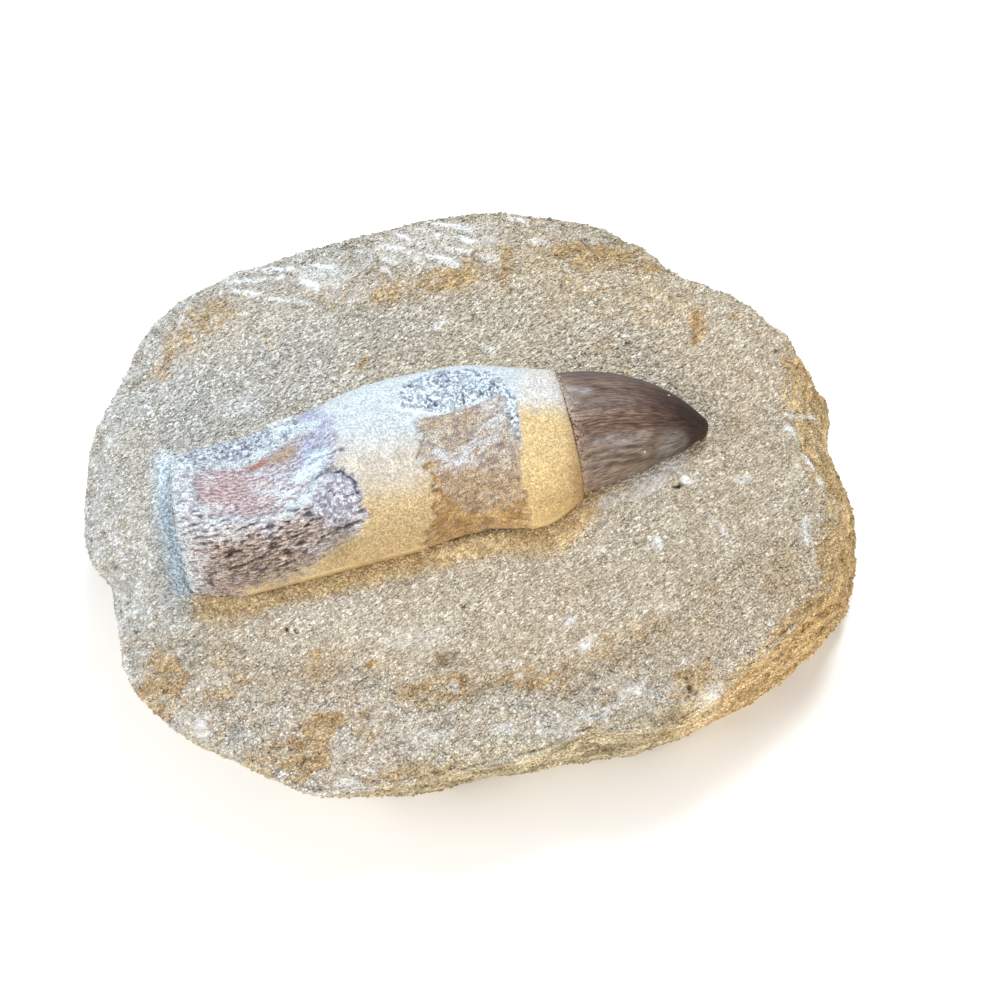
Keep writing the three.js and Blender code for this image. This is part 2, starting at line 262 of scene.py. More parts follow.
class Finish:
    """A material that is built node by node"""

    def __init__(self, name):
        self.material = bpy.data.materials.new(name)
        self.material.use_nodes = True
        self.tree = self.material.node_tree
        self.shader = self.tree.nodes["Principled BSDF"]
        self.place = self.add("ShaderNodeTexCoord").outputs["Object"]

    def add(self, kind, inputs=None, **settings):
        """A new node with its settings and inputs; an input is a value or another node's output"""
        node = self.tree.nodes.new(kind)
        for name, value in settings.items():
            setattr(node, name, value)
        for name, value in (inputs or {}).items():
            self.put(node.inputs[name], value)
        return node

    def put(self, socket, value):
        if isinstance(value, bpy.types.NodeSocket):
            self.tree.links.new(value, socket)
        else:
            socket.default_value = value

    def mark(self, name):
        """A mark that the mesh carries, as a number at every point"""
        return self.add("ShaderNodeAttribute", attribute_name=name).outputs["Fac"]

    def place_along(self, axis):
        return self.add("ShaderNodeSeparateXYZ", {"Vector": self.place}).outputs[axis]

    def stretched(self, x, y, z, vector=None):
        """Places scaled differently each way, for patterns that are longer one way"""
        inputs = {"Vector": vector or self.place, "Scale": (x, y, z)}
        return self.add("ShaderNodeMapping", inputs).outputs["Vector"]

    def slanted(self, turn, longer):
        """Places for a pattern that is longer in a direction turned on the plan"""
        inputs = {"Vector": self.place, "Rotation": (0, 0, math.radians(turn))}
        inputs |= {"Scale": (longer, 1, 1)}
        return self.add("ShaderNodeMapping", inputs, vector_type="TEXTURE").outputs["Vector"]

    def unrolled(self, squeeze):
        """Places on the tooth's unrolled surface, for patterns that run along it"""
        inputs = {"X": self.mark("along"), "Y": self.mark("around")}
        flat = self.add("ShaderNodeCombineXYZ", inputs).outputs["Vector"]
        return self.stretched(squeeze, 1, 1, flat)

    def noise(self, size, detail=4.0, rough=0.55, vector=None):
        """Soft noise whose lumps are size mm wide"""
        inputs = {"Vector": vector or self.place, "Scale": 1 / (size * MM)}
        inputs |= {"Detail": detail, "Roughness": rough}
        return self.add("ShaderNodeTexNoise", inputs).outputs["Fac"]

    def grains(self, size, output, vector):
        """Cells size mm wide: a colour for each cell, or the distance from its middle"""
        inputs = {"Vector": vector, "Scale": 1 / (size * MM)}
        return self.add("ShaderNodeTexVoronoi", inputs).outputs[output]

    def calculate(self, kind, a, b=0.0):
        node = self.add("ShaderNodeMath", operation=kind)
        self.put(node.inputs[0], a)
        self.put(node.inputs[1], b)
        return node.outputs[0]

    def times(self, a, b):
        return self.calculate("MULTIPLY", a, b)

    def plus(self, a, b):
        return self.calculate("ADD", a, b)

    def most(self, first, *others):
        """The strongest of several marks"""
        share = self.mark(first)
        for name in others:
            share = self.calculate("MAXIMUM", share, self.mark(name))
        return share

    def remap(self, value, low, high, to_low=0.0, to_high=1.0):
        """A smooth change from to_low to to_high while value goes from low to high"""
        inputs = {"Value": value, "From Min": low, "From Max": high}
        inputs |= {"To Min": to_low, "To Max": to_high}
        node = self.add("ShaderNodeMapRange", inputs, interpolation_type="SMOOTHSTEP")
        return node.outputs["Result"]

    def blend(self, share, a, b, kind="MIX"):
        """Colour a, turned into colour b by share"""
        node = self.add("ShaderNodeMix", data_type="RGBA", blend_type=kind, clamp_factor=True)
        self.put(node.inputs[0], share)
        self.put(node.inputs[6], a if isinstance(a, bpy.types.NodeSocket) else (*a, 1))
        self.put(node.inputs[7], b if isinstance(b, bpy.types.NodeSocket) else (*b, 1))
        return node.outputs[2]

    def between(self, value, low, high, a, b):
        """Colour a where value is low and colour b where it is high"""
        return self.blend(self.remap(value, low, high), a, b)

    def lay(self, colour, mark, share, over):
        """A colour with another one laid over it where the mesh carries a mark"""
        return self.blend(self.times(self.mark(mark), share), colour, over)

    def tint(self, colour, by):
        return self.blend(1.0, colour, by, "MULTIPLY")

    def dim(self, colour, share):
        """A colour made darker or lighter by a factor that changes from place to place"""
        grey = self.add("ShaderNodeCombineColor", {"Red": share, "Green": share, "Blue": share})
        return self.tint(colour, grey.outputs["Color"])

    def steps(self, value, *stops):
        """Colours read off a scale: each stop is a value from 0 to 1 and its colour"""
        node = self.add("ShaderNodeValToRGB", {"Fac": value})
        scale = node.color_ramp.elements
        while len(scale) < len(stops):
            scale.new(0.5)
        for element, (at, colour) in zip(scale, stops):
            element.position = at
            element.color = (*colour, 1)
        return node.outputs["Color"]

    def bump(self, height, depth, below=None):
        """Small relief, depth mm from its lowest to its highest"""
        inputs = {"Height": height, "Distance": depth * MM}
        if below is not None:
            inputs["Normal"] = below
        return self.add("ShaderNodeBump", inputs).outputs["Normal"]

    def finished(self, **inputs):
        """Links the shader's inputs, such as Base_Color, and gives the material"""
        for name, value in inputs.items():
            self.put(self.shader.inputs[name.replace("_", " ")], value)
        return self.material


print("finish helpers ready")

# %% [markdown]
# ## Meshes as arrays
# The surfaces are shaped as arrays of points in millimetres. These helpers turn arrays into
# Blender meshes and carry the marks that the finishes read.

# %% Helpers for meshes
box_margin = 0.02  # mm between the looks and the CAD model's outline box


def mesh_from(name, points, faces):
    """A smooth mesh from an array of points in mm and a list of faces"""
    mesh = bpy.data.meshes.new(name)
    mesh.from_pydata((inside_box(points) * MM).tolist(), [], faces)
    mesh.shade_smooth()
    mesh.update()
    return mesh


def read_array(values, field):
    """Three numbers for each vertex, as an array"""
    flat = np.zeros(len(values) * 3)
    values.foreach_get(field, flat)
    return flat.reshape(-1, 3)


def inside_box(points):
    """Points kept a little within the CAD model's outline box, and on the ground below"""
    kept = np.clip(points, box_low + box_margin, box_high - box_margin)
    kept[:, 2] = np.clip(points[:, 2], 0, box_high[2] - box_margin)
    return kept


def set_marks(mesh, marks):
    for name, values in marks.items():
        mark = mesh.attributes.new(name, "FLOAT", "POINT")
        mark.data.foreach_set("value", np.asarray(values, np.float32))


def show(name, mesh, material, replaced=None):
    """Puts a finished mesh in the scene as a piece that rides on the specimen"""
    piece = bpy.data.objects.new(name, mesh)
    bpy.context.scene.collection.objects.link(piece)
    mesh.materials.clear()
    mesh.materials.append(material)
    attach(piece, "root")
    if replaced:
        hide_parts(replaced)
    print(name, "has", sum(len(p.vertices) - 2 for p in mesh.polygons), "triangles")


def surface_tree(*nodes):
    """One search tree over the surfaces of several CAD nodes, in mm"""
    points, faces = [], []
    for node in nodes:
        start = len(points)
        points += [v.co / MM for v in node.data.vertices]
        faces += [[start + i for i in p.vertices] for p in node.data.polygons]
    return BVHTree.FromPolygons(points, faces)


tooth_surface = surface_tree(root_node, crown_node)
print("mesh helpers ready")

# %% [markdown]
# ## The slab: an even mesh
# The CAD slab has large flat facets. A voxel remesh covers it with small even squares, about as
# wide as a grain of sand, which can be pushed in and out. The underside and the hollow under the
# tooth stay plain, so their squares are merged into a few large faces.

# %% Remesh the slab
slab_step = 0.53  # mm between points
even_slab = bpy.data.objects.new("even_slab", slab_node.data.copy())
bpy.context.scene.collection.objects.link(even_slab)


def work_in(piece, kind, **settings):
    """Works one modifier into a piece's mesh"""
    modifier = piece.modifiers.new(kind.lower(), kind)
    for key, value in settings.items():
        setattr(modifier, key, value)
    evaluated = piece.evaluated_get(bpy.context.evaluated_depsgraph_get())
    piece.data = bpy.data.meshes.new_from_object(evaluated)
    piece.modifiers.clear()


def from_tooth(points):
    """The nearest point of the CAD tooth, the way out of it there, and how far it is"""
    found = [tooth_surface.find_nearest(p) for p in points]
    return [np.array([f[k] for f in found]) for k in (0, 1, 3)]


work_in(even_slab, "REMESH", mode="VOXEL", voxel_size=slab_step * MM)
work_in(even_slab, "SMOOTH", factor=0.5, iterations=8)
points = read_array(even_slab.data.vertices, "co") / MM
gap = from_tooth(points)[2]
unseen = (points[:, 2] < 0.3) | ((gap < 1.0) & (points[:, 2] < 24))
even_slab.vertex_groups.new(name="unseen").add(np.flatnonzero(unseen).tolist(), 1.0, "REPLACE")
work_in(even_slab, "DECIMATE", ratio=1.003 - unseen.mean(), vertex_group="unseen")
slab_mesh = even_slab.data
bpy.data.objects.remove(even_slab)
print("even slab has", len(slab_mesh.vertices), "points, and had", len(points))

# %% [markdown]
# ## The slab: relief
# Four kinds of surface meet on the slab. The face round the tooth was dressed flat with a point,
# which left fine slanting scratches. Along the back a chisel took off short scoops and bruised
# the rock white. The front still has its rough bedding, and the sides are broken.

# %% Relief of the slab
scratch_lean = 38  # degrees that the scratches are turned on the plan
p = read_array(slab_mesh.vertices, "co") / MM
out = read_array(slab_mesh.vertex_normals, "vector")
x, y, z = p.T
upward = rise(out[:, 2], 0.5, 0.85)
ragged = layered_noise(p, 2.4, 41)
side = (1 - upward) * rise(24.8 - z + 1.3 * ragged, 0, 1.5)
side *= 1 - 0.85 * rise(-x, 46, 58) * rise(z, 10, 18)
side *= 1 - 0.8 * rise(-x, 6, 18) * rise(-y, 25, 38) * rise(z, 14, 20)
side *= 1 - 0.85 * rise(y, 12, 26) * rise(28 - x, 0, 10) * rise(z, 15, 20)
brow_x = [-65, -45, -30, -20, -10, 6, 12, 24, 33, 42, 52, 62]
brow_y = [-26, -29, -33, -33, -36.5, -35, -36, -31, -25, -18, -10, -2]
brow = np.interp(x, brow_x, brow_y) + 0.9 * ragged  # where the dressed face ends in front
rough = upward * rise(brow - y, -1, 2.5) * (1 - 0.4 * rise(x, 26, 38))
walls = p[(out[:, 2] < 0.5) & (np.hypot(x / 66, y / 52) > 0.75)]
wall_tree = KDTree(len(walls))
for number, wall_point in enumerate(walls):
    wall_tree.insert((wall_point[0], wall_point[1], 0), number)
wall_tree.balance()
rim_distance = np.array([wall_tree.find((a, b, 0))[2] for a, b in p[:, :2]])
chiselled = upward * rise(25.5 - z, 0, 1.5) * rise(y, 14, 22)

turned_p = turned(p, scratch_lean)
grit = grain_cells(p, 1.0, 3)[0]
scratches = layered_noise(turned_p, (2.8, 0.95, 2.0), 11, 2)
waves = soft_noise(p, 6.0, 7)
broken = layered_noise(turned_p, (4.4, 2.4, 2.6), 21)
chips, chip_number = grain_cells(p + 0.8 * waves[:, None], (3.4, 2.4, 2.0), 23)
bedding = layered_noise(p, (11, 11, 1.5), 31)
crumb, crumb_number = grain_cells(p, (1.7, 1.4, 1.4), 29)
crumb_gaps = 1 - rise(crumb, 0.0, 0.2)
relief = 0.13 * scratches + 0.10 * waves + 0.14 * (grit - 0.35)
flakes = 0.85 * broken + 0.8 * (chip_number - 0.5) * rise(chips, 0, 0.35)
relief += (rough + 0.4 * chiselled) * flakes
relief -= 0.5 * rough
relief += rough * (0.95 * (crumb_number - 0.5) * rise(crumb, 0.02, 0.25) - 0.25 * crumb_gaps)
side_chips = 0.5 * (chip_number - 0.5) * rise(chips, 0.02, 0.3)
relief += side * (0.55 * bedding + 0.45 * broken + side_chips)
edge = rise(out[:, 2], 0.1, 0.45) * (1 - rise(out[:, 2], 0.8, 0.97))
relief -= edge * 1.5 * rise(layered_noise(p, 4.2, 25, 2), -0.15, 0.6)
nicks = upward * np.exp(-rim_distance / 1.5) * rise(layered_noise(p, 4.2, 27, 2), -0.1, 0.5)
relief -= 0.9 * nicks
deepest = 1.5  # mm, which hollows come near but don't pass
relief = np.where(relief < 0, deepest * np.tanh(relief / deepest), relief)
print("relief from", relief.min().round(2), "to", relief.max().round(2), "mm")

# %% [markdown]
# The chisel marks lie along the back edge, each a short groove with a bruised white lip. Pits,
# small lumps and a scratched line are placed one by one.

# %% Chisel marks, pits and lumps
chance = np.random.default_rng(7)
chisel_strokes = [  # start x, start y, end x, end y, half width, strength
    (-48.1, 41, -41.8, 41, 0.55, 1), (-41.8, 41, -36, 42.3, 0.5, 0.9),
    (-46.4, 38.1, -41.1, 36.9, 0.5, 0.9), (-38.8, 46.4, -35.1, 46.2, 0.5, 0.8),
    (-40.8, 43.5, -34.4, 43.2, 0.5, 0.9), (-39.2, 35.8, -34.3, 34.9, 0.45, 0.7),
    (-31.7, 44.9, -27.2, 42.6, 0.55, 1), (-33.3, 40.4, -29.4, 37.6, 0.9, 1),
    (-34.3, 34.7, -30.6, 34.5, 0.4, 0.7), (-27.4, 39.8, -26.2, 37.6, 0.5, 0.6),
    (-30.5, 42.2, -28, 40.6, 0.5, 0.6), (-44.5, 43.6, -41, 44, 0.45, 0.6),
    (-16.4, 51.2, -12.5, 49.6, 0.5, 0.9), (-18.9, 47.6, -13.6, 46.6, 0.5, 1),
    (-18.4, 44.8, -14.8, 43.6, 0.6, 0.9), (-18.7, 42.4, -16.1, 40.7, 0.5, 0.7),
    (-10.8, 54.2, -6.2, 52.9, 0.5, 0.9), (-9.2, 50.7, -6.1, 49.5, 0.5, 0.8),
    (-6.6, 53, -0.4, 50.8, 0.5, 1), (-4.2, 50, -0.4, 48, 0.8, 1),
    (-6.1, 46.8, -1.2, 45.1, 0.4, 0.9), (-9.4, 44.9, -3.4, 43, 0.6, 1),
    (0.3, 43.8, 3.7, 44.7, 0.5, 0.7), (5.2, 54.8, 9, 53.4, 0.45, 0.8),
    (-13, 52.6, -9.8, 51.9, 0.4, 0.6), (-12.4, 48, -9, 47.2, 0.5, 0.7),
    (-24, 47.6, -20.2, 46.2, 0.45, 0.6), (-22.8, 43.4, -20.4, 42.4, 0.4, 0.5),
    (13, 52, 16, 51, 0.4, 0.45), (-12.5, 44.2, -10.6, 43, 0.45, 0.6),
]
bruise = np.zeros(len(p))
for x0, y0, x1, y1, wide, strength in chisel_strokes:
    start, end = np.array((x0, y0)), np.array((x1, y1))
    length = np.linalg.norm(end - start)
    along = (end - start) / length
    from_middle = p[:, :2] - (start + end) / 2
    bow = 0.35 * (1 - ((from_middle @ along) / 3) ** 2)
    off = from_middle @ np.array([-along[1], along[0]]) - bow
    within = 1 - rise(np.abs(from_middle @ along) - length / 2, -0.8, 0.5)
    groove = np.exp(-(((off + 0.9) / 0.6) ** 2)) * within
    stroke_lip = np.exp(-((off / wide) ** 2)) * within
    relief += upward * strength * (0.28 * stroke_lip - 0.40 * groove)
    bruise = np.maximum(bruise, strength * stroke_lip)

pits = [  # x, y, radius, depth
    (36.2, -1.2, 0.5, 1.3), (37, -1, 0.3, 0.8), (-33.7, -27.6, 0.42, 0.8),
    (-31.9, -27.9, 0.3, 0.5), (-2.5, -23.7, 0.38, 0.6), (37.4, -38.2, 0.4, 0.6),
    (27.5, 26.6, 0.4, 0.6), (54.7, 25.4, 0.35, 0.5), (-60.5, -28, 0.35, 0.4),
    (-14.2, -38.6, 0.4, 0.6),
]
lumps = [  # x, y, radius, height
    (-2.2, -38.1, 0.9, 0.6), (-3.8, -41.3, 0.9, 0.6), (4.4, -42.8, 1, 0.7), (29, -38, 0.8, 0.5),
    (38.3, 1.2, 0.5, 0.35), (16.9, -26.2, 0.6, 0.4), (10, -30.5, 0.8, 0.5), (15.3, -41.4, 1, 0.6),
    (-26, 32.5, 0.7, 0.35), (47, -29, 0.8, 0.5), (22.5, -35, 0.7, 0.5), (-42, -36, 0.8, 0.5),
]
# Painted shade: pits and the three cracks are coloured nearly black.
dark = np.zeros(len(p))
for at_x, at_y, radius, depth in pits:
    hole = upward * soft_ellipse(p, at_x, at_y, radius, radius, 0, 0.45)
    relief -= depth * hole
    dark = np.maximum(dark, hole)
for at_x, at_y, radius, height in lumps:
    relief += upward * height * soft_ellipse(p, at_x, at_y, radius, 0.8 * radius, 20, 0.8)

star = (37.5, -38.3)  # three short cracks meet here
for tip_at in ((38.7, -39.3), (36.9, -36.4), (37.1, -40.1)):
    cut = upward * np.exp(-((line_distance(p, [star, tip_at]) / 0.28) ** 2))
    relief -= 0.5 * cut
    dark = np.maximum(dark, 0.65 * cut)
vein = np.stack([x, y - 0.325 * (face_height - z)], 1)  # the plane of a thin hard vein
scratched_line = np.exp(-((line_distance(vein, [(56.4, 12.6), (63.4, 12.6)]) / 0.40) ** 2))
relief += 0.15 * scratched_line
print(len(chisel_strokes), "chisel strokes,", len(pits), "pits,", len(lumps), "lumps")

# %% [markdown]
# Rock still clings to the tooth all round. Where the slab comes within a millimetre of it, the
# surface is drawn onto the tooth, so that no gap shows, and rises to it in a small fillet.

# %% Close the rock onto the tooth
drawn_in = 0.35  # mm that the rock's edge reaches into the tooth
tooth_foot = [
    (-48.3, -23.4), (-38, -22.4), (-25, -19.2), (-12, -15.6), (-3, -12.8), (4, -11), (10.5, -10.4),
    (15.5, -8.2), (19.8, -4.4),
]
foot_distance = line_distance(p, tooth_foot)
near_foot = 1 - rise(foot_distance, 2.0, 6.0)
relief *= 0.3 + 0.7 * rise(from_tooth(p)[2], 0.6, 2.6)
shaped = p + (relief * rise(z, 0.1, 2.2))[:, None] * out
gap = from_tooth(shaped)[2]
fillet = np.exp(-np.clip(gap - 0.3, 0, None) / (1.1 + 0.8 * near_foot)) * rise(z, 23.5, 25)
shaped[:, 2] += (0.5 + 0.6 * near_foot) * fillet
touch, tooth_out, gap = from_tooth(shaped)
drawn = rise(1.0 - gap, 0.0, 0.35) * rise(shaped[:, 2], 23.6, 24.6)
shaped += drawn[:, None] * (touch - drawn_in * tooth_out - shaped)
slab_mesh.vertices.foreach_set("co", (inside_box(shaped) * MM).ravel())
slab_mesh.update()
print("points drawn onto the tooth:", int((drawn > 0.5).sum()))

# %% [markdown]
# ## The slab: colour
# Sand grains of many tones give the rock its greige. Iron has stained it orange in patches, and
# along the foot of the tooth its warm shade is painted in ochre. The broken sides were never
# cleaned and are ochre. Crushed rock is chalk white. The left of the face is painted cooler, as
# cool light, and the front of it paler.

# %% Stains and chalk
iron_stains = [  # x, y, two half widths, turn, strength
    (-52.5, 30.5, 9, 3.6, 34, 0.52), (-57.5, 24, 3, 5, -20, 0.5), (-52, 31, 13, 6, 32, 0.25),
    (-14, 38.5, 26, 4.5, 8, 0.3), (24, 38, 20, 8, -18, 0.3), (50, 17, 9, 9, 0, 0.25),
    (-39.2, 27.5, 1.7, 1, 10, 0.5), (-16.3, 37.2, 7, 2.2, 15, 0.6),
    (-21.4, 22.1, 2.6, 0.8, 15, 0.5), (-5.6, 39.4, 6.5, 2.6, 12, 0.8), (5.2, 42.2, 1.7, 6, 0, 0.6),
    (20.3, 45.4, 8.5, 3.2, -8, 0.8), (30, 44, 6, 2.6, -32, 0.7), (12.5, 34, 5, 2, -30, 0.3),
    (41, 29.4, 3.9, 1.5, 68, 1), (36, 33, 2, 1.2, 60, 0.4), (22.7, 26.4, 2.2, 1, 30, 0.4),
    (26, 22, 2.6, 0.9, 20, 0.4), (58.6, 22.1, 3.2, 2.2, -40, 1), (62.5, 15.5, 1.6, 2.6, 0, 0.7),
    (50, 30, 4, 2, -30, 0.35), (41, -13, 2, 1.2, 60, 0.3), (65, -16, 3.6, 8, 10, 0.65),
    (59, -27, 7, 4, 50, 0.65), (49.5, -35.5, 7, 3, 35, 0.4), (62.5, 2, 2.6, 7, 12, 0.5),
    (55, -18, 5, 7, 20, 0.3), (38, -28, 9, 4, 40, 0.15), (-55.8, -37.8, 5.5, 4.6, 0, 0.8),
    (-46, -37, 7.5, 4, 8, 0.45), (-28.9, -47.5, 8, 2.8, 52, 1), (-26.4, -43.3, 3.2, 2.2, 60, 0.9),
    (-38, -50.5, 5, 2.6, 45, 0.55), (-9, -53, 9, 1.7, 6, 0.8), (-22, -41, 3, 1.6, 50, 0.35),
    (-27.5, -34.5, 4, 2, 30, 0.45), (-6.5, -38.6, 8, 3.2, 10, 0.6),
    (-18.4, -33.5, 2.2, 1.1, 20, 0.8), (9.5, -36.2, 8, 1.8, 6, 0.6), (14, -38, 5, 1.8, -20, 0.4),
    (30.5, -27.6, 4, 2.2, 40, 0.35), (38, -36.6, 4.6, 2.4, 30, 0.65),
    (22.5, -30.5, 3.6, 1.2, 30, 0.4), (-43, -26.5, 3, 1.6, 0, 0.35), (22.5, -3, 4, 1.2, 22, 0.35),
    (-19.5, -45, 2.8, 1.8, 0, 0.5),
]
chalk_marks = [
    (37.3, -0.2, 0.9, 0.9, 0, 0.9), (39.4, 0.6, 0.7, 0.6, 0, 0.6), (32.3, -11.7, 0.9, 0.8, 0, 1),
    (-48.8, -44.6, 1.5, 1.2, 0, 0.6), (16.9, -26.2, 1.2, 0.9, 0, 0.6),
    (19.4, -30.2, 1.8, 0.8, 40, 0.5), (7.5, -35.8, 0.8, 0.6, 0, 0.55),
    (-22.8, -54.4, 1.6, 1, 0, 0.9), (57, 9.6, 1.6, 1.2, -50, 0.9), (60, 4.8, 2.6, 0.8, -60, 0.8),
    (62.6, -0.5, 2.6, 0.7, -70, 0.5), (59, -9, 1, 2.4, 0, 0.55), (48, 0.5, 1.4, 0.9, 0, 0.6),
    (44, -9, 3, 0.5, -50, 0.35), (27, -38.8, 3.4, 1.6, 20, 0.4), (20.5, -42.5, 3, 1.2, 15, 0.45),
    (-46.5, -36, 4, 1.6, 8, 0.3), (-10.5, -46, 3.5, 1.6, -20, 0.2),
    (-17.5, -43.5, 4, 1.4, 20, 0.15), (-4, -37.5, 0.7, 0.6, 0, 0.55), (-35, 11, 3, 0.9, 12, 0.8),
    (5, -45.5, 2.6, 1, 12, 0.4), (-7, 30.7, 1.4, 0.6, 35, 0.7), (2.5, 25.8, 1.8, 0.8, 35, 0.4),
    (-44, 14, 4.5, 2, 15, 0.3), (12, 48.5, 2, 1, 0, 0.4), (-27, 13, 3, 1, 15, 0.4),
    (41.5, -39.2, 2.6, 1.3, 40, 0.5), (30.5, -1.2, 4.6, 1.6, 22, 0.3), (-44, 40, 6.5, 3, 18, 0.08),
    (-29.5, 41.5, 5, 3.2, 12, 0.35), (28, -1.4, 7.5, 1.5, 24, 0.35), (33, 1.8, 5, 1.7, 26, 0.45),
    (-11, -29.5, 6, 2.6, 0, 0.2), (13, -46, 4.5, 1.6, 10, 0.3), (-12, 47, 8, 3.6, 5, 0.22),
    (0, 50, 6, 3, 0, 0.25),
]
# Painted shade: a warm ochre shadow along the near foot of the tooth and under the crown's edge.
foot_shade_width = np.interp(x, [-45, -33, -14, 4, 16, 24], [3.6, 2.4, 2.6, 3.4, 5.4, 2.0])
painted_foot_shade = (1 - rise((foot_distance + 1.0 * ragged) / foot_shade_width, 0.4, 1.25)) * upward
painted_foot_shade *= rise(x, -54, -47)
painted_foot_shade = np.maximum(painted_foot_shade, 0.5 * soft_ellipse(p, 23.5, -2.4, 4.5, 1.6, 24, 0.6))
wander = np.stack([layered_noise(p, 5.0, salt, 2) for salt in (51, 53, 55)], 1) * [1, 1, 0]
wandered = p + 2.4 * wander + 0.9 * ragged[:, None] * [1, -1, 0]
stain = np.clip(strongest(wandered, iron_stains) * (1.05 + 0.9 * ragged), 0, 1)
golden = rise(x, 22, 42) * rise(35 - y, 0, 20) + 0.6 * rise(-y, 38, 46) * rise(x, -20, 0)
spill = upward * (1 - rise(rim_distance + 1.8 * ragged, 0.1, 2.6)) * np.clip(golden, 0, 1)
side = np.maximum(side, 0.85 * spill)
chalk_grain = 0.85 + 1.1 * layered_noise(p, 1.1, 45)
chalk = np.clip(strongest(p + 0.9 * wander, chalk_marks) * chalk_grain, 0, 1)
chalk *= 0.25 + 0.75 * rise(out[:, 2], 0.2, 0.6)
chalk = np.maximum(chalk, bruise * (0.8 + 0.4 * soft_noise(p, 1.3, 47)) * upward)
chalk = np.maximum(chalk, 0.7 * scratched_line)
left_dust = np.exp(-rim_distance / 1.4) * rise(-x, 48, 60) * rise(ragged, -0.3, 0.3)
chalk = np.maximum(chalk, 0.15 * left_dust)
# Painted light: cool light on the left of the face, and warm light on the rest.
painted_cool_light = rise(-x + 0.25 * y, -2, 54) * (1 - 0.75 * rise(-y, 20, 32) * rise(62 + x, 4, 18))
painted_cool_light *= 1 - 0.6 * soft_ellipse(p, -45, 30, 8, 5.5, 20, 0.6)
# Painted shade: hollows and the gaps between crumbs are darkened.
hollow_shade = rise(-relief - 0.5 * rough - 0.9 * nicks, 0.15, 1.0) * (0.4 + 0.6 * upward)
hollow_shade = np.maximum(hollow_shade, 0.55 * rough * crumb_gaps)
shade_line = [(-56.6, 3.5), (-55.6, -8.0), (-52.4, -20.0)]  # beside the broken end
shade = np.exp(-((line_distance(p, shade_line) / 2.0) ** 2))
front = -y + 0.25 * np.clip(x - 20, 0, 30) + 0.6 * ragged
pale = rise(front, 30, 47) * (1 - 0.3 * rise(x, 30, 48))
slab_marks = {
    "stain": stain, "chalk": chalk, "dark": dark, "side": side, "painted_cool_light": painted_cool_light, "painted_foot_shade": painted_foot_shade,
    "hollow_shade": hollow_shade, "shade": shade, "rough": np.clip(rough + chiselled, 0, 1), "pale": pale,
}
set_marks(slab_mesh, slab_marks)
print("stained share", (stain > 0.4).mean().round(3), "chalky share", (chalk > 0.4).mean().round(3))

# %% The finish of rock and sand


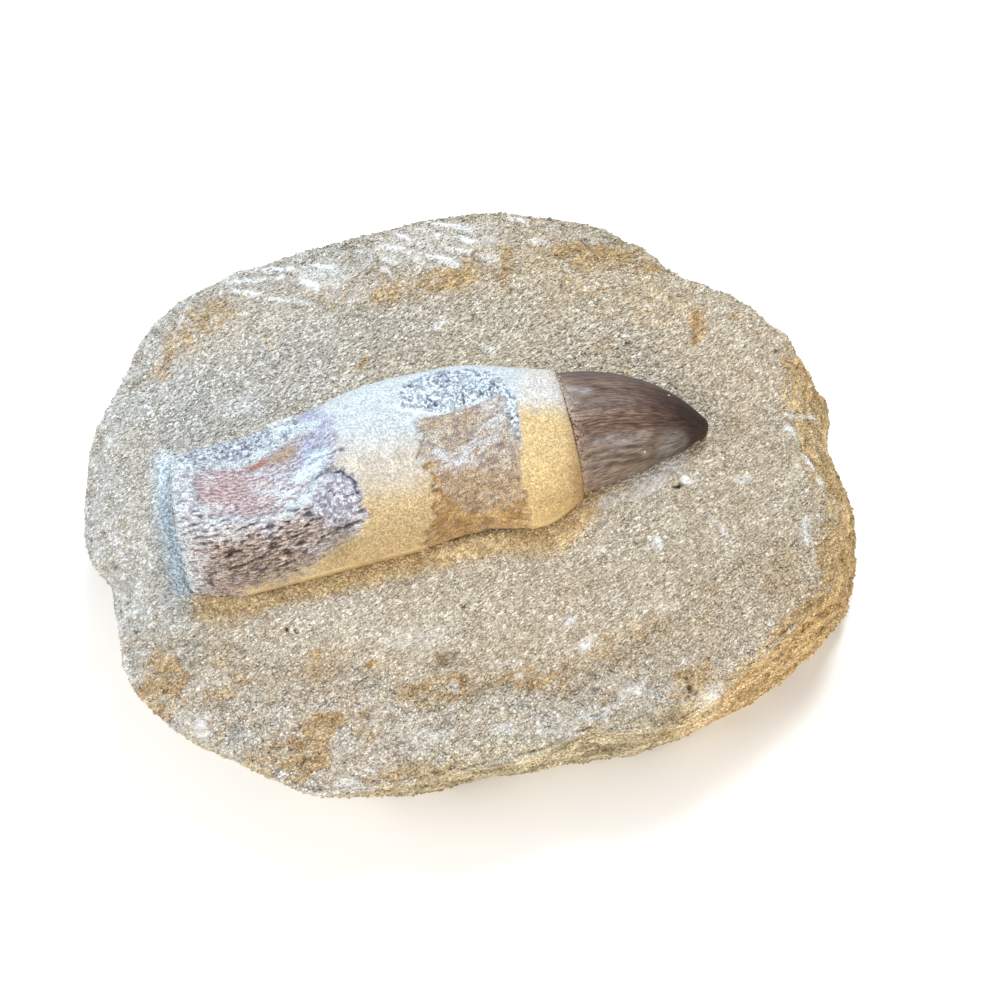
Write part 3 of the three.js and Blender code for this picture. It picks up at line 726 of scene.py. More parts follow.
def sand_finish(name, own_tone):
    """Sandy rock. Loose grains carry their own tone; in the slab each cell gets one."""
    rock = Finish(name)
    slant = rock.slanted(scratch_lean, 2)
    fine = rock.noise(0.32, 3, 0.6, slant)
    if own_tone:
        tone = rock.mark("tone")
    else:
        cells = rock.grains(0.42, "Color", slant)
        tone = rock.add("ShaderNodeSeparateColor", {"Color": cells}).outputs["Red"]
    tone = rock.plus(rock.times(tone, 0.62), rock.remap(fine, 0.3, 0.7, -0.02, 0.42))
    colour = rock.steps(
        tone,
        (0.08, (0.24, 0.175, 0.115)),
        (0.26, (0.42, 0.365, 0.29)),
        (0.50, (0.53, 0.485, 0.405)),
        (0.76, (0.66, 0.62, 0.55)),
        (0.95, (0.98, 0.95, 0.90)),
    )
    warmth = rock.remap(rock.noise(11, 3), 0.35, 0.7)
    colour = rock.blend(rock.times(warmth, 0.30), colour, (0.50, 0.39, 0.27))
    mottle = rock.remap(rock.noise(4.5, 5, 0.6), 0.42, 0.62)
    mottle = rock.times(mottle, rock.remap(rock.mark("rough"), 0, 1, 0.07, 0.34))
    tan = rock.dim((0.47, 0.385, 0.27), rock.remap(tone, 0.1, 0.9, 0.55, 1.6))
    colour = rock.blend(mottle, colour, tan)
    # Painted light: a cool tint on the left of the face and a warm one elsewhere.
    colour = rock.tint(colour, rock.lay((0.91, 0.87, 0.81), "painted_cool_light", 1, (0.92, 0.98, 1.07)))

    stain = rock.mark("stain")
    patchy = rock.remap(rock.noise(1.6, 5, 0.65), 0.34, 0.60, -0.28, 0.22)
    patchy = rock.times(patchy, rock.remap(stain, 0, 0.5))
    stain = rock.remap(rock.plus(stain, patchy), 0.05, 0.95)
    iron = rock.noise(2.4, 3)
    ochre = rock.between(iron, 0.35, 0.65, (0.34, 0.222, 0.102), (0.47, 0.34, 0.185))
    ochre = rock.dim(ochre, rock.remap(tone, 0.1, 0.9, 0.66, 1.45))
    colour = rock.blend(rock.times(stain, 0.97), colour, ochre)
    along_x = rock.place_along("X")
    # Painted shade along the tooth's foot, darker towards its left end.
    foot_shade_ochre = rock.between(iron, 0.35, 0.65, (0.49, 0.335, 0.155), (0.66, 0.50, 0.275))
    foot_shade_tone = rock.remap(tone, 0.1, 0.9, 0.75, 1.3)
    foot_shade_tone = rock.times(foot_shade_tone, rock.remap(along_x, -0.036, -0.018, 0.88, 1))
    colour = rock.lay(colour, "painted_foot_shade", 0.85, rock.dim(foot_shade_ochre, foot_shade_tone))
    colour = rock.lay(colour, "shade", 0.75, (0.62, 0.77, 0.90))

    layers = rock.noise(2, 5, 0.6, rock.stretched(0.22, 0.22, 0.85))
    side_ochre = rock.between(layers, 0.40, 0.60, (0.40, 0.255, 0.10), (0.67, 0.49, 0.26))
    tan_wall = rock.between(layers, 0.40, 0.60, (0.245, 0.185, 0.095), (0.54, 0.44, 0.27))
    side_ochre = rock.between(along_x, 0.028, 0.044, tan_wall, side_ochre)
    side_ochre = rock.dim(side_ochre, rock.remap(tone, 0.1, 0.9, 0.72, 1.35))
    colour = rock.lay(colour, "side", 0.9, side_ochre)
    colour = rock.lay(colour, "pale", 1, rock.tint(colour, (1.12, 1.20, 1.36)))
    dust = rock.noise(0.19, 2, 0.5, slant)
    colour = rock.dim(colour, rock.remap(dust, 0.36, 0.64, 0.67, 1.33))
    colour = rock.lay(colour, "chalk", 0.95, (0.88, 0.92, 0.95))
    # Painted shade in the hollows.
    colour = rock.lay(colour, "hollow_shade", 0.6, rock.tint(colour, (0.66, 0.55, 0.42)))
    # Painted shade in pits and cracks.
    colour = rock.lay(colour, "dark", 1, (0.07, 0.045, 0.03))
    grit = rock.bump(rock.grains(0.45, "Distance", slant), 0.42)
    return rock.finished(Base_Color=colour, Roughness=0.92, Normal=rock.bump(fine, 0.2, grit))


# The flat underside keeps its flat shading.
flat_faces = [f.index for f in slab_mesh.polygons if f.normal.z < -0.98]
slab_mesh.shade_smooth()
for index in flat_faces:
    slab_mesh.polygons[index].use_smooth = False
show("rock_slab", slab_mesh, sand_finish("sandy_rock", False), "matrix_slab")

# %% [markdown]
# ## Loose sand grains
# At this scale the rock is a crowd of separate grains. Tens of thousands of small eight-sided
# grains are strewn over the slab, each turned its own way and half sunk in. They take the marks
# of the rock under them. They are joined into three meshes: back, middle and front.

# %% Strew the grains
sand_count = 22000  # grains in each mesh
open_gap = 0.45  # mm from the tooth, within which no grain lies
grain_points = np.vstack([[axis, -axis] for axis in np.eye(3)])
grain_faces = np.array(
    [(0, 2, 4), (2, 1, 4), (1, 3, 4), (3, 0, 4), (2, 0, 5), (1, 2, 5), (3, 1, 5), (0, 3, 5)]
)


def random_turns(count):
    """Random rotations as an array of 3 by 3 matrices"""
    q = chance.normal(size=(count, 4))
    w, i, j, k = (q / np.linalg.norm(q, axis=1, keepdims=True)).T
    rows = [
        (1 - 2 * (j * j + k * k), 2 * (i * j - k * w), 2 * (i * k + j * w)),
        (2 * (i * j + k * w), 1 - 2 * (i * i + k * k), 2 * (j * k - i * w)),
        (2 * (i * k - j * w), 2 * (j * k + i * w), 1 - 2 * (i * i + j * j)),
    ]
    return np.moveaxis(np.array(rows), 2, 0)


def strew(name, count, triangles, weights, material):
    """Grains on chosen triangles of the slab"""
    picked = triangles[chance.choice(len(triangles), count, p=weights / weights.sum())]
    a, b = chance.random((2, count))
    over = a + b > 1
    a, b = np.where(over, 1 - a, a), np.where(over, 1 - b, b)
    first, second, third = (shaped[picked[:, k]] for k in range(3))
    at = first + a[:, None] * (second - first) + b[:, None] * (third - first)
    marks_at = {key: values[picked[:, 0]] for key, values in slab_marks.items()}
    radius = np.clip(chance.lognormal(math.log(0.22), 0.28, count), 0.13, 0.5)
    radius *= 1 - 0.35 * marks_at["chalk"]
    radius *= 1 + 0.25 * marks_at["rough"]
    scale = radius[:, None] * chance.uniform(0.7, 1.25, (count, 3))
    at += (radius * chance.uniform(-0.25, 0.35, count))[:, None] * out[picked[:, 0]]
    turns = random_turns(count)
    points = at[:, None, :] + np.einsum("nij,nkj->nki", turns, grain_points[None] * scale[:, None])
    faces = grain_faces[None] + 6 * np.arange(count)[:, None, None]
    mesh = mesh_from(name, points.reshape(-1, 3), faces.reshape(-1, 3).tolist())
    tone = 0.28 + 0.74 * chance.beta(1.4, 1.6, count)
    marks = marks_at | {"tone": tone, "hollow_shade": np.zeros(count), "dark": 0.6 * marks_at["dark"]}
    set_marks(mesh, {key: np.repeat(values, 6) for key, values in marks.items()})
    show(name, mesh, material)


slab_mesh.calc_loop_triangles()
slab_triangles = np.zeros(len(slab_mesh.loop_triangles) * 3, np.int32)
slab_mesh.loop_triangles.foreach_get("vertices", slab_triangles)
slab_triangles = slab_triangles.reshape(-1, 3)
tri = shaped[slab_triangles]
area = np.linalg.norm(np.cross(tri[:, 1] - tri[:, 0], tri[:, 2] - tri[:, 0]), axis=1) / 2
middle = tri.mean(1)
nearest = gap[slab_triangles].min(1)
open_air = (nearest > open_gap) & (middle[:, 2] > 0.8)
open_air &= (nearest > 1.3) | (middle[:, 2] > 25)
level_share = 0.55 + 0.45 * upward[slab_triangles].mean(1)
slope = level_share * (1 - 0.6 * bruise[slab_triangles].mean(1))
sand = sand_finish("sand_grains", True)
for name, low, high in (("sand_back", 16, 99), ("sand_middle", -22, 16), ("sand_front", -99, -22)):
    chosen = open_air & (middle[:, 1] > low) & (middle[:, 1] <= high)
    strew(name, sand_count, slab_triangles[chosen], (area * slope)[chosen], sand)

# %% [markdown]
# ## The tooth: rows of points across it
# Root and crown are both long, so each is rebuilt as rows of points across it. The stations below
# give the far and near edge of some rows, and the rest lie between them. A ray from the middle of
# a row outward finds the CAD surface, which keeps the true size. Rows let fine relief run
# lengthwise, as the fibres of the real tooth do.

# %% Rows across the tooth
root_stations = [  # far x, far y, near x, near y, height of the middle
    (-54.3, 3.5, -50.1, -20.8, 26.5), (-47.4, 5.6, -43.5, -21.9, 27),
    (-39.9, 7.8, -35.3, -20.2, 27), (-31.9, 11.6, -26.9, -18.1, 27),
    (-23.9, 15.8, -18.3, -15.6, 27), (-14.9, 18.7, -10.7, -13.6, 27),
    (-6.9, 20.2, -3.9, -11.2, 27), (1.1, 20.8, 2.7, -9.6, 27), (7.1, 20.6, 8.7, -9.5, 27),
    (10.7, 20.3, 12.9, -8.6, 27), (12.3, 20.1, 16.4, -6.1, 27), (12.95, 20, 18.85, -3.7, 27),
]
crown_stations = [
    (13.45, 19.7, 19.4, -2.7, 27), (19.3, 20.3, 22.8, -1.3, 27.2), (25.1, 19.7, 26.5, 0.3, 27.5),
    (30.6, 18.2, 30.5, 1.9, 27.8), (35.1, 16, 34.5, 4, 28.1), (38.6, 13.3, 38, 5.9, 28.3),
    (40.85, 11.1, 40.35, 7.3, 28.4),
]


def rows_between(stations, count):
    """Even rows: their middles, the level way to the near edge, and how far along each one is"""
    stations = np.array(stations, float)
    far, near = stations[:, :2], stations[:, 2:4]
    middle = np.c_[(far + near) / 2, stations[:, 4]]
    run = np.r_[0, np.cumsum(np.linalg.norm(np.diff(middle[:, :2], axis=0), axis=1))]
    at = np.linspace(0, run[-1], count)
    middles = np.stack([np.interp(at, run, middle[:, k]) for k in range(3)], 1)
    toward = (near - far) / np.linalg.norm(near - far, axis=1, keepdims=True)
    ways = np.stack([np.interp(at, run, toward[:, k]) for k in range(2)], 1)
    for values in (middles, ways):
        for _ in range(count // 4):
            values[1:-1] = (values[:-2] + 2 * values[1:-1] + values[2:]) / 4
    ways /= np.linalg.norm(ways, axis=1, keepdims=True)
    return middles, np.c_[ways, np.zeros(count)], at


def turned_row(shown, hidden, below=14):
    """Angles round the tooth from its near edge: close together where it shows"""
    low = math.radians(-below)
    above = np.linspace(low, math.pi - low, shown, endpoint=False)
    return np.r_[above, np.linspace(math.pi - low, 2 * math.pi + low, hidden, endpoint=False)]


def ways_out(ways, angles):
    """The direction of every point of every row"""
    level = ways[:, None, :] * np.cos(angles)[None, :, None]
    return level + np.sin(angles)[None, :, None] * np.array([0.0, 0.0, 1.0])


def read_radii(node, middles, directions):
    """How far a CAD node's surface is from each middle in each direction"""
    tree = surface_tree(node)
    radii = np.zeros(directions.shape[:2])
    for i, middle in enumerate(middles):
        for j, direction in enumerate(directions[i]):
            hit = tree.ray_cast(Vector(middle), Vector(direction))
            radii[i, j] = hit[3] if hit[0] else radii[i, j - 1]
    return radii


def smoothed(values, rows, columns):
    """Averages each value with its neighbours; the columns close round on themselves"""
    for _ in range(rows):
        padded = np.vstack([2 * values[:1] - values[1:2], values, 2 * values[-1:] - values[-2:-1]])
        values = (padded[:-2] + 2 * padded[1:-1] + padded[2:]) / 4
    for _ in range(columns):
        values = (np.roll(values, 1, 1) + 2 * values + np.roll(values, -1, 1)) / 4
    return values


def closed_mesh(name, points, columns, first_middle, last_middle):
    """A mesh over rows of points that close round, with a middle point to close each end"""
    last_row = len(points) - columns
    i, j = np.meshgrid(np.arange(len(points) // columns - 1), np.arange(columns), indexing="ij")
    k = (j + 1) % columns
    corners = (i * columns + j, i * columns + k, (i + 1) * columns + k, (i + 1) * columns + j)
    faces = np.stack(corners, -1).reshape(-1, 4).tolist()
    for k in range(columns):
        after = (k + 1) % columns
        faces.append([len(points), after, k])
        faces.append([len(points) + 1, last_row + k, last_row + after])
    return mesh_from(name, np.vstack([points, first_middle, last_middle]), faces)


print("row helpers ready")

# %% Read the root's surface
root_rows, root_shown, root_hidden = 380, 190, 20
root_middles, root_ways, root_along = rows_between(root_stations, root_rows)
root_angles = turned_row(root_shown, root_hidden)
root_directions = ways_out(root_ways, root_angles)
root_radii = read_radii(root_node, root_middles, root_directions)
first_whole = int(np.argmax(root_along > 1.8))  # rows before it run into the broken face
root_radii[:first_whole] = root_radii[first_whole]
root_radii = smoothed(root_radii, 30, 14)
root_radii -= 0.7 * np.clip(1 - root_along / 1.3, 0, 1)[:, None] ** 2
columns = len(root_angles)
root_points = root_middles[:, None] + root_radii[:, :, None] * root_directions
root_points[:, :, 0] -= 0.3 * (1 - rise(root_along, 0.0, 7.0))[:, None]
root_points[:, :, 0] += 0.2 * rise(root_along, root_along[-1] - 2, root_along[-1])[:, None]
print("root rows are", (root_along[1]).round(3), "mm apart")

# %% [markdown]
# ## The root: places and relief
# At its left the root is covered with porous bone whose pores run lengthwise. A flake has come
# off there, which leaves a sunken window of pinkish bone with a pale lip round it and a raised
# lobe beside it. Next comes smooth cream dentine, then a patch where rock still sticks under a
# band of grey porous bone, and last a smooth collar below the crown.

# %% Places on the root
bone_window = [
    (-49.4, -1.4), (-44.4, -0.9), (-40.3, -0.4), (-37.8, 1.4), (-33.2, 4.2), (-30.4, 5.4),
    (-28.6, 4.8), (-27.4, 2), (-27.6, -2.2), (-28.6, -5.6), (-30.6, -9), (-34, -10.7),
    (-39.7, -11.2), (-45, -11.4), (-46.9, -11.6), (-47.4, -9.2), (-49.3, -7.9), (-49.9, -5.2),
]
upper_ridge = [
    (-53.6, -1.9), (-51.6, -0.6), (-48.7, -0.8), (-44.4, -0.7), (-40.3, -0.2), (-37.8, 1.8),
    (-34.8, 3.6), (-32, 5.6), (-29.4, 6.2), (-27.6, 7.6),
]
right_ridge = [(-27.6, -2.6), (-27.7, -4.7), (-28.8, -6.6), (-30.2, -8.6), (-32.6, -10.4)]
left_ridge = [(-49.9, -3.6), (-50.0, -5.4), (-49.2, -7.9), (-47.2, -9.2), (-46.9, -11.8)]
low_ridge = [(-46.9, -11.8), (-42.0, -11.5), (-36.5, -11.4), (-32.6, -10.4)]
lobe_crack = [
    (-28.2, -4.6), (-27, -3.6), (-25.2, -3.1), (-23.2, -3.4), (-21.6, -4.6), (-20.7, -6.9),
]
porous_bone = [
    (-70, -40), (-70, 30), (-33, 24), (-29.6, 12.6), (-28, 9.2), (-25.8, 6), (-25, 3),
    (-24.6, -1.8), (-21.6, -4), (-19.8, -7.6), (-19, -10.6), (-20.4, -12.6), (-23, -14),
    (-26.4, -15.7), (-28.4, -17.4), (-32.4, -18.9), (-38.4, -20.6), (-46, -23.2), (-52, -25),
]
grey_bone = [
    (-14.6, 9.4), (-13.2, 14.6), (-8, 17.6), (-2, 18.4), (2.6, 17.2), (5.4, 13.4), (6.6, 9),
    (5, 8.4), (3.2, 10.6), (0.6, 10.4), (-1.4, 9.2), (-4.2, 8), (-8, 7.9), (-11, 8.5),
]
grey_bend = [(3.6, 13.4), (5.2, 11.2), (6.0, 8.8), (6.4, 5.9), (6.7, 2.3), (6.9, -2.0)]
grey_lip = [(-14.0, 9.0), (-9.9, 8.2), (-6.4, 7.7), (-3.8, 8.0), (-1.2, 9.2), (1.4, 10.2)]
stuck_rock = [
    (-10.6, 7.2), (-5.6, 7.6), (-0.7, 9.4), (4.3, 11.6), (7, 9.6), (7.2, 3.1), (7.4, -3.4),
    (8.6, -6.2), (9.6, -9), (10.6, -14), (-9.8, -18), (-8.8, -12.5), (-7.5, -10.1), (-7.1, -7.3),
    (-7.5, -4.6), (-9.2, -2.6), (-9.9, 1.5),
]
ochre_hollow = [
    (-9.4, -0.6), (-7.3, -1.4), (-6.4, -4.9), (-5.2, -6.9), (-2.1, -7.9), (2.3, -7.6), (5.6, -6.9),
    (9.2, -5.4), (10.6, -9), (11, -16), (-12, -20), (-10.4, -12), (-9, -6),
]
white_smear = [
    (1.6, 9.4), (5.2, 8.6), (3.2, 5.9), (0.6, 3.1), (-0.8, 0.4), (-3.8, -0.9), (-8.1, 0.6),
    (-10.2, -1.6),
]
q = root_points.reshape(-1, 3)
qx, qy, qz = q.T
row_at = np.repeat(root_along, columns)
round_at = np.tile((root_angles - math.pi / 2) * 14.5, root_rows)
skin = np.stack([row_at, round_at, np.zeros(len(q))], 1)  # places on the unrolled surface
level = np.array([1.0, 1.0, 0.0])
broad_wobble = layered_noise(q, 3.2, 61)[:, None] * level
fine_wobble = layered_noise(q, 1.1, 63, 2)[:, None] * level
uneven = fine_wobble[:, 0]
bent = q + 0.8 * broad_wobble + 0.5 * fine_wobble


def along_ridge(line, width):
    """1 on a line, falling off to either side, and uneven along it"""
    return np.exp(-((line_distance(bent, line) / width) ** 2)) * (0.75 + 0.5 * uneven)


knobbly_border = layered_noise(q, 1.0, 119)
in_window = inside_outline(bent, bone_window)
window = rise(in_window, -0.05, 0.3)
lip = np.maximum(1.2 * along_ridge(upper_ridge, 0.62), 1.3 * along_ridge(right_ridge, 0.95))
lip = np.maximum(lip, 0.9 * along_ridge(left_ridge, 0.4))
lip = np.clip(np.maximum(lip, 0.7 * along_ridge(low_ridge, 0.4)), 0, 1)
lobe = soft_ellipse(bent, -24.7, -7.6, 4.6, 4.5, 0, 0.16)
low_border = rise(-qy, 11, 15)
in_crust = inside_outline(bent, porous_bone) + 0.9 * low_border * knobbly_border
crust_edge = 0.5 + 0.5 * low_border
crust = rise(in_crust, -0.5 - 1.6 * rise(qy, 1, 4) - 0.5 * low_border, crust_edge)
grey = rise(inside_outline(bent + 0.6 * fine_wobble, grey_bone), -0.5, 0.9)
bend_fade = 0.12 + 0.88 * rise(qy, 0, 7)
grey = np.maximum(grey, bend_fade * (1 - rise(line_distance(bent, grey_bend), 0.6, 1.5)))
grey_edge = np.clip(along_ridge(grey_lip, 0.55), 0, 1)
fibre_lean = 27  # degrees that the stuck rock's flakes are turned on the plan
leaning = turned(q, fibre_lean)
flaking = layered_noise(leaning, (3.2, 0.8, 1.6), 97, 2)
fraying = 1.5 * layered_noise(leaning, (3.4, 1.7, 1.6), 121, 3) + 0.5 * knobbly_border
in_patch = inside_outline(bent, stuck_rock) + rise(-qx, -2, 4) * fraying
patch = rise(in_patch, -0.35, 0.35) * (1 - grey)
recess = patch * rise(inside_outline(bent + 0.5 * fine_wobble, ochre_hollow), -0.7, 0.9)
smear = 1 - rise(line_distance(bent, white_smear) + 1.3 * uneven, 0.5, 2.7)
patch_border = 0.4 * np.exp(-((in_patch / 0.25) ** 2)) * rise(-qx, 0, 4) * (1 - grey)
from_seam = root_along[-1] - row_at
for name, share in (("window", window), ("porous crust", crust), ("stuck rock", patch)):
    print(name, "covers a share of", share.mean().round(3))

# %% Relief of the root
bare_crust = crust * (1 - window)
violet = strongest(bent, [
    (-28.6, 1.2, 2.6, 4.6, 10, 1), (-27.2, 7.6, 3.2, 3.8, 30, 1), (-31, -2.6, 2, 1.6, 0, 0.5),
    (-30.4, 9.6, 2.4, 1.6, 30, 0.8),
])
brownish = bare_crust * strongest(bent + 1.2 * broad_wobble, [
    (-38.4, -17.6, 10.5, 3.9, -6, 1.0), (-29.5, -13.4, 7, 2.6, 15, 0.85),
])
brownish = np.maximum(brownish, 0.8 * bare_crust * (rise(-qy, 15, 18) * rise(qx, -50, -46)))
fibres = layered_noise(skin, (3.4, 0.75, 1.0), 71, 2)
fine_fibres = layered_noise(skin, (1.8, 0.5, 1.0), 73, 2)
pores = rise(layered_noise(skin, (2.4, 0.62, 1.0), 75, 2), 0.12, 0.36)
small_pores = rise(soft_noise(skin, (0.85, 0.48, 1.0), 77), 0.2, 0.6)
winding = layered_noise(q + 0.4 * fine_wobble, (2.0, 1.3, 1.3), 89, 2)
crevices = 1 - rise(np.abs(winding), 0.02, 0.14)
round_pores = rise(layered_noise(q, (1.0, 0.75, 0.75), 99, 2), 0.12, 0.40)
web_pores = 0.55 + 0.45 * rise(soft_noise(q, 4.0, 115), -0.25, 0.3)
web_pores = web_pores * np.maximum(0.75 * crevices, round_pores)
knobbly = layered_noise(q, 1.5, 79)
pitting = rise(soft_noise(q, 0.75, 81), 0.3, 0.7)
flakes, flake_number = grain_cells(bent, (3.4, 1.9, 2.4), 83)

calm = 1 - 0.75 * violet
bone = bare_crust * calm * (0.22 * fibres + 0.18 * knobbly - 0.50 * pores - 0.26 * small_pores)
bone += -0.10 * crust
bone -= 0.50 * window
bone += window * (0.16 * fibres + 0.12 * knobbly - 0.14 * small_pores)
bone += 0.38 * lip
bone += lobe * (0.34 + 0.16 * knobbly - 0.06 * crevices + 0.2 * pores)
bone -= 0.14 * bare_crust * calm * crevices
bone += grey * (0.14 * knobbly - 0.44 * web_pores) + 0.22 * grey_edge
flake_steps = 0.34 * (flake_number - 0.5) * rise(flakes, 0.02, 0.2)
bone += patch * (-0.30 + flake_steps + 0.12 * knobbly)
bone += patch * (0.10 * fine_fibres + 0.16 * smear + 0.24 * flaking - 0.22 * crevices)
bone -= 0.2 * patch_border
bone -= 0.30 * recess
smooth_part = (1 - crust) * (1 - grey) * (1 - patch)
bone += smooth_part * (0.05 * soft_noise(q, 3.2, 85) + 0.03 * knobbly - 0.05 * pitting)
crack_line = np.exp(-((line_distance(q + 0.4 * fine_wobble, lobe_crack) / 0.22) ** 2))
bone -= 0.55 * crack_line
spot = soft_ellipse(q, -23.6, 1.1, 0.55, 0.4, 10, 0.4)
bone -= 0.4 * spot
bone -= 0.22 * np.exp(-from_seam / 0.45) * rise(soft_noise(q, 0.9, 87), 0.0, 0.5)
collar_step = np.exp(-(((qx + 0.04 * (qy - 10) - 7.0 - 0.3 * uneven) / 0.22) ** 2))
collar_step *= rise(qy, -5, -2) * rise(9 - qy, 0, 2)
bone -= 0.22 * collar_step * rise(uneven, -0.6, 0.2)
bone *= 0.2 + 0.8 * rise(qz, 26.4, 28.8)  # little relief where the rock hides it
bone -= 0.22 * rise(qz, 39.4, 41.0)
root_shaped = q + bone[:, None] * root_directions.reshape(-1, 3)
print("root relief from", bone.min().round(2), "to", bone.max().round(2), "mm")

# %% [markdown]
# The root's left end is broken straight across. Rings of points run from its worn rim to its
# middle over an uneven, slightly hollow face.

# %% The broken end and the whole root mesh
end_rings = 26
end_turn = math.radians(10)  # that the broken face is turned from straight across
rim = root_shaped[:columns]
even_rim = q[:columns]
rim_middle = rim.mean(0)
outward = np.array([-math.cos(end_turn), -math.sin(end_turn), 0])
end_points = []
for ring in range(end_rings, 0, -1):
    share = 1 - (ring / (end_rings + 1)) ** 1.15
    rim_share = rise(share, 0.80, 1.0)
    flat = rim_middle + share * (rim_share * rim + (1 - rim_share) * even_rim - rim_middle)
    wear = 0.40 * rise(1 - share, 0.0, 0.05) - 0.75 * rise(1 - share, 0.08, 0.5)
    rough_end = layered_noise(flat, 3.4, 91) * 0.7 - 0.5 * rise(soft_noise(flat, 1.3, 93), 0.1, 0.6)
    rough_end *= rise(1 - share, 0.03, 0.2)
    end_points.append(flat + (wear + rough_end)[:, None] * outward)
broken_end = np.vstack(end_points)
end_middle, seam_middle = end_points[0].mean(0), root_shaped[-columns:].mean(0)
all_rows = np.vstack([broken_end, root_shaped])
root_mesh = closed_mesh("bony_root", all_rows, columns, end_middle, seam_middle)
print("root mesh has", len(root_mesh.vertices), "points")

# %% [markdown]
# The mesh carries a mark for every place that has a colour of its own or painted light: painted
# lit and shaded parts of the dentine, white and brown parts of the porous bone, icy webs between
# its pores, a painted shade low down, and a brown stain on the collar's edge below the crown.

# %% Marks on the root
end_brown = 0.5 + 0.5 * layered_noise(broken_end, 6.0, 95)
# Painted light: above this line the dentine is lit cool and white, below it shaded warm yellow.
lit_line = np.interp(qx, [-30, -20, -9, 0, 7, 14], [-9.0, -7.2, -5.0, 3.0, 9.0, 9.0])
soft_border = np.interp(qx, [-9, 4, 8], [2.8, 2.4, 2.7])
strip_line = np.interp(qx, [-54, -40, -33, -28], [-1, 0.4, 5.4, 8])
tuft = strongest(bent, [(-32.8, 6.9, 3.6, 1.1, 8, 1.0), (-36, 5, 2.5, 0.7, 20, 0.5)])
left_white = strongest(bent, [
    (-50, -10.5, 3.4, 8.5, 8, 0.85), (-52, -4, 1.6, 5, 0, 0.9), (-44.5, -13.4, 5, 2.2, 0, 0.9),
])
seam_brown = 1 - rise(from_seam + 0.8 * knobbly, 0.5, 2.0)
seam_brown *= rise(5 - qy, 0, 7) * (1 - rise(-qy, 6.5, 8.5))
foot_line = np.exp(-(((qz - 28.4 - 0.7 * knobbly) / 0.6) ** 2))
foot_line = foot_line * rise(-qy, 4, 8) * rise(broad_wobble[:, 1], -0.4, 0.3)
# Painted shade: the lowest band of the near flank, above the rock, is darker ochre.
low_flank_shade = (1 - rise(qz + 0.6 * knobbly, 27.2, 28.2)) * rise(-qy, 3, 7)
low_flank_shade = low_flank_shade * (1 - 0.6 * rise(qx, 8, 11))
# Painted shade: pores, cracks and the edges of steps are darkened.
crust_pores = np.maximum.reduce([pores, 0.45 * small_pores, 0.3 * crevices])
pore_shade = calm * bare_crust * crust_pores * (1 - 0.8 * lobe) * (1 - 0.5 * left_white)
pore_shade += 1.3 * grey * web_pores + crack_line + spot + 0.35 * window * small_pores
pore_shade += 0.15 * lobe * crevices + 0.45 * patch * crevices
pore_shade += 0.6 * patch_border * rise(uneven, -0.3, 0.3) + 0.6 * collar_step * rise(uneven, -0.4, 0.2)
# Painted shadow: a dark line just inside the window's edge, under its lip.
window_edge_shadow = np.exp(-(((in_window - 0.42) / 0.22) ** 2)) * rise(uneven, -0.5, 0.4)
root_marks = {
    "along": row_at * MM, "around": round_at * MM,
    "crust": crust, "window": window, "lobe": lobe, "grey": grey, "grey_edge": grey_edge,
    "patch": patch, "smear": smear, "violet": violet, "brownish": brownish, "pore_shade": pore_shade,
    "window_edge_shadow": window_edge_shadow, "chalky": left_white, "seam_brown": seam_brown,
    "lip": np.clip(np.maximum.reduce([lip, tuft, 0.7 * np.exp(-row_at / 1.0)]), 0, 1),
    "strip": bare_crust * rise(qy - strip_line, 0.2, 1.2),
    "flaking": rise(flaking, -0.1, 0.6),
    "low_flank_shade": low_flank_shade * (1 - crust),
    "unlit": (1 - rise(qz + knobbly, 29, 34)) * rise(qy, 5, 12),
    # The recess colour is partly the stuck rock's own ochre and partly painted shade, and it is
    # spread over the lower near part of the patch as painted shade.
    "recess": np.maximum(recess, 0.42 * patch * rise(-qy, 0.0, 5.0)),
    "sunlit": rise((qy - lit_line + 1.0 * knobbly) / soft_border, -1, 1),
    "top": rise(qy - 0.1 * qx + 0.8 * knobbly, -1.0, 8.0),
    "warm_top": rise(qx, 6.0, 9.0),
    "seam": np.exp(-from_seam / (0.9 + 0.6 * uneven)),
    "foot": foot_line * (1 - crust) * (1 - patch),
}
small_places = {  # x, y, two half widths, turn, strength
    "rose": [(-43.6, -5.4, 5.2, 4.2, 10, 1.0), (-40.5, -8.6, 5.5, 2.2, 0, 0.6)],
    "tan": [(-34.2, 1.2, 3, 1.4, 40, 1.0), (-37, -4.6, 1.6, 0.7, 10, 0.8)],
    "rust": [(-38.4, -0.4, 2, 0.5, 25, 1.0), (-30.5, -16.6, 2, 0.4, 10, 0.3)],
    "powder": [
        (-35.6, -4.6, 4.6, 3.2, -8, 0.75), (-31.6, -7.8, 2.6, 2, 0, 0.9),
        (-44.6, -9.4, 3, 1.2, 0, 0.6), (-47.6, -3.4, 1.6, 1, 0, 0.5),
    ],
    "icy_web": [
        (-29.6, -2.6, 3.6, 1.3, 40, 1), (-33, -6.4, 2.4, 1, 45, 0.6), (-28, 0, 2, 1.5, 20, 0.9),
    ],
    "lower_shade": [(-24, -14, 3.6, 2.2, 25, 0.9), (-37, -19, 8, 2, -6, 0.6)],
}
root_marks |= {name: strongest(bent, places) for name, places in small_places.items()}
end_marks = {  # on the broken end, where they aren't 0
    "along": 3.5 * MM * broken_end[:, 1], "around": MM * broken_end[:, 2], "crust": 1.0,
    "lip": 0.3, "brownish": end_brown, "strip": 0.2, "chalky": 1 - end_brown, "sunlit": 0.5,
    "top": 0.5, "pore_shade": rise(soft_noise(broken_end, 1.3, 93), 0.1, 0.6),
}
for name, values in root_marks.items():
    on_end = np.broadcast_to(end_marks.get(name, 0.0), len(broken_end))
    root_marks[name] = np.r_[on_end, values, on_end[:columns].mean(), values[-1]]
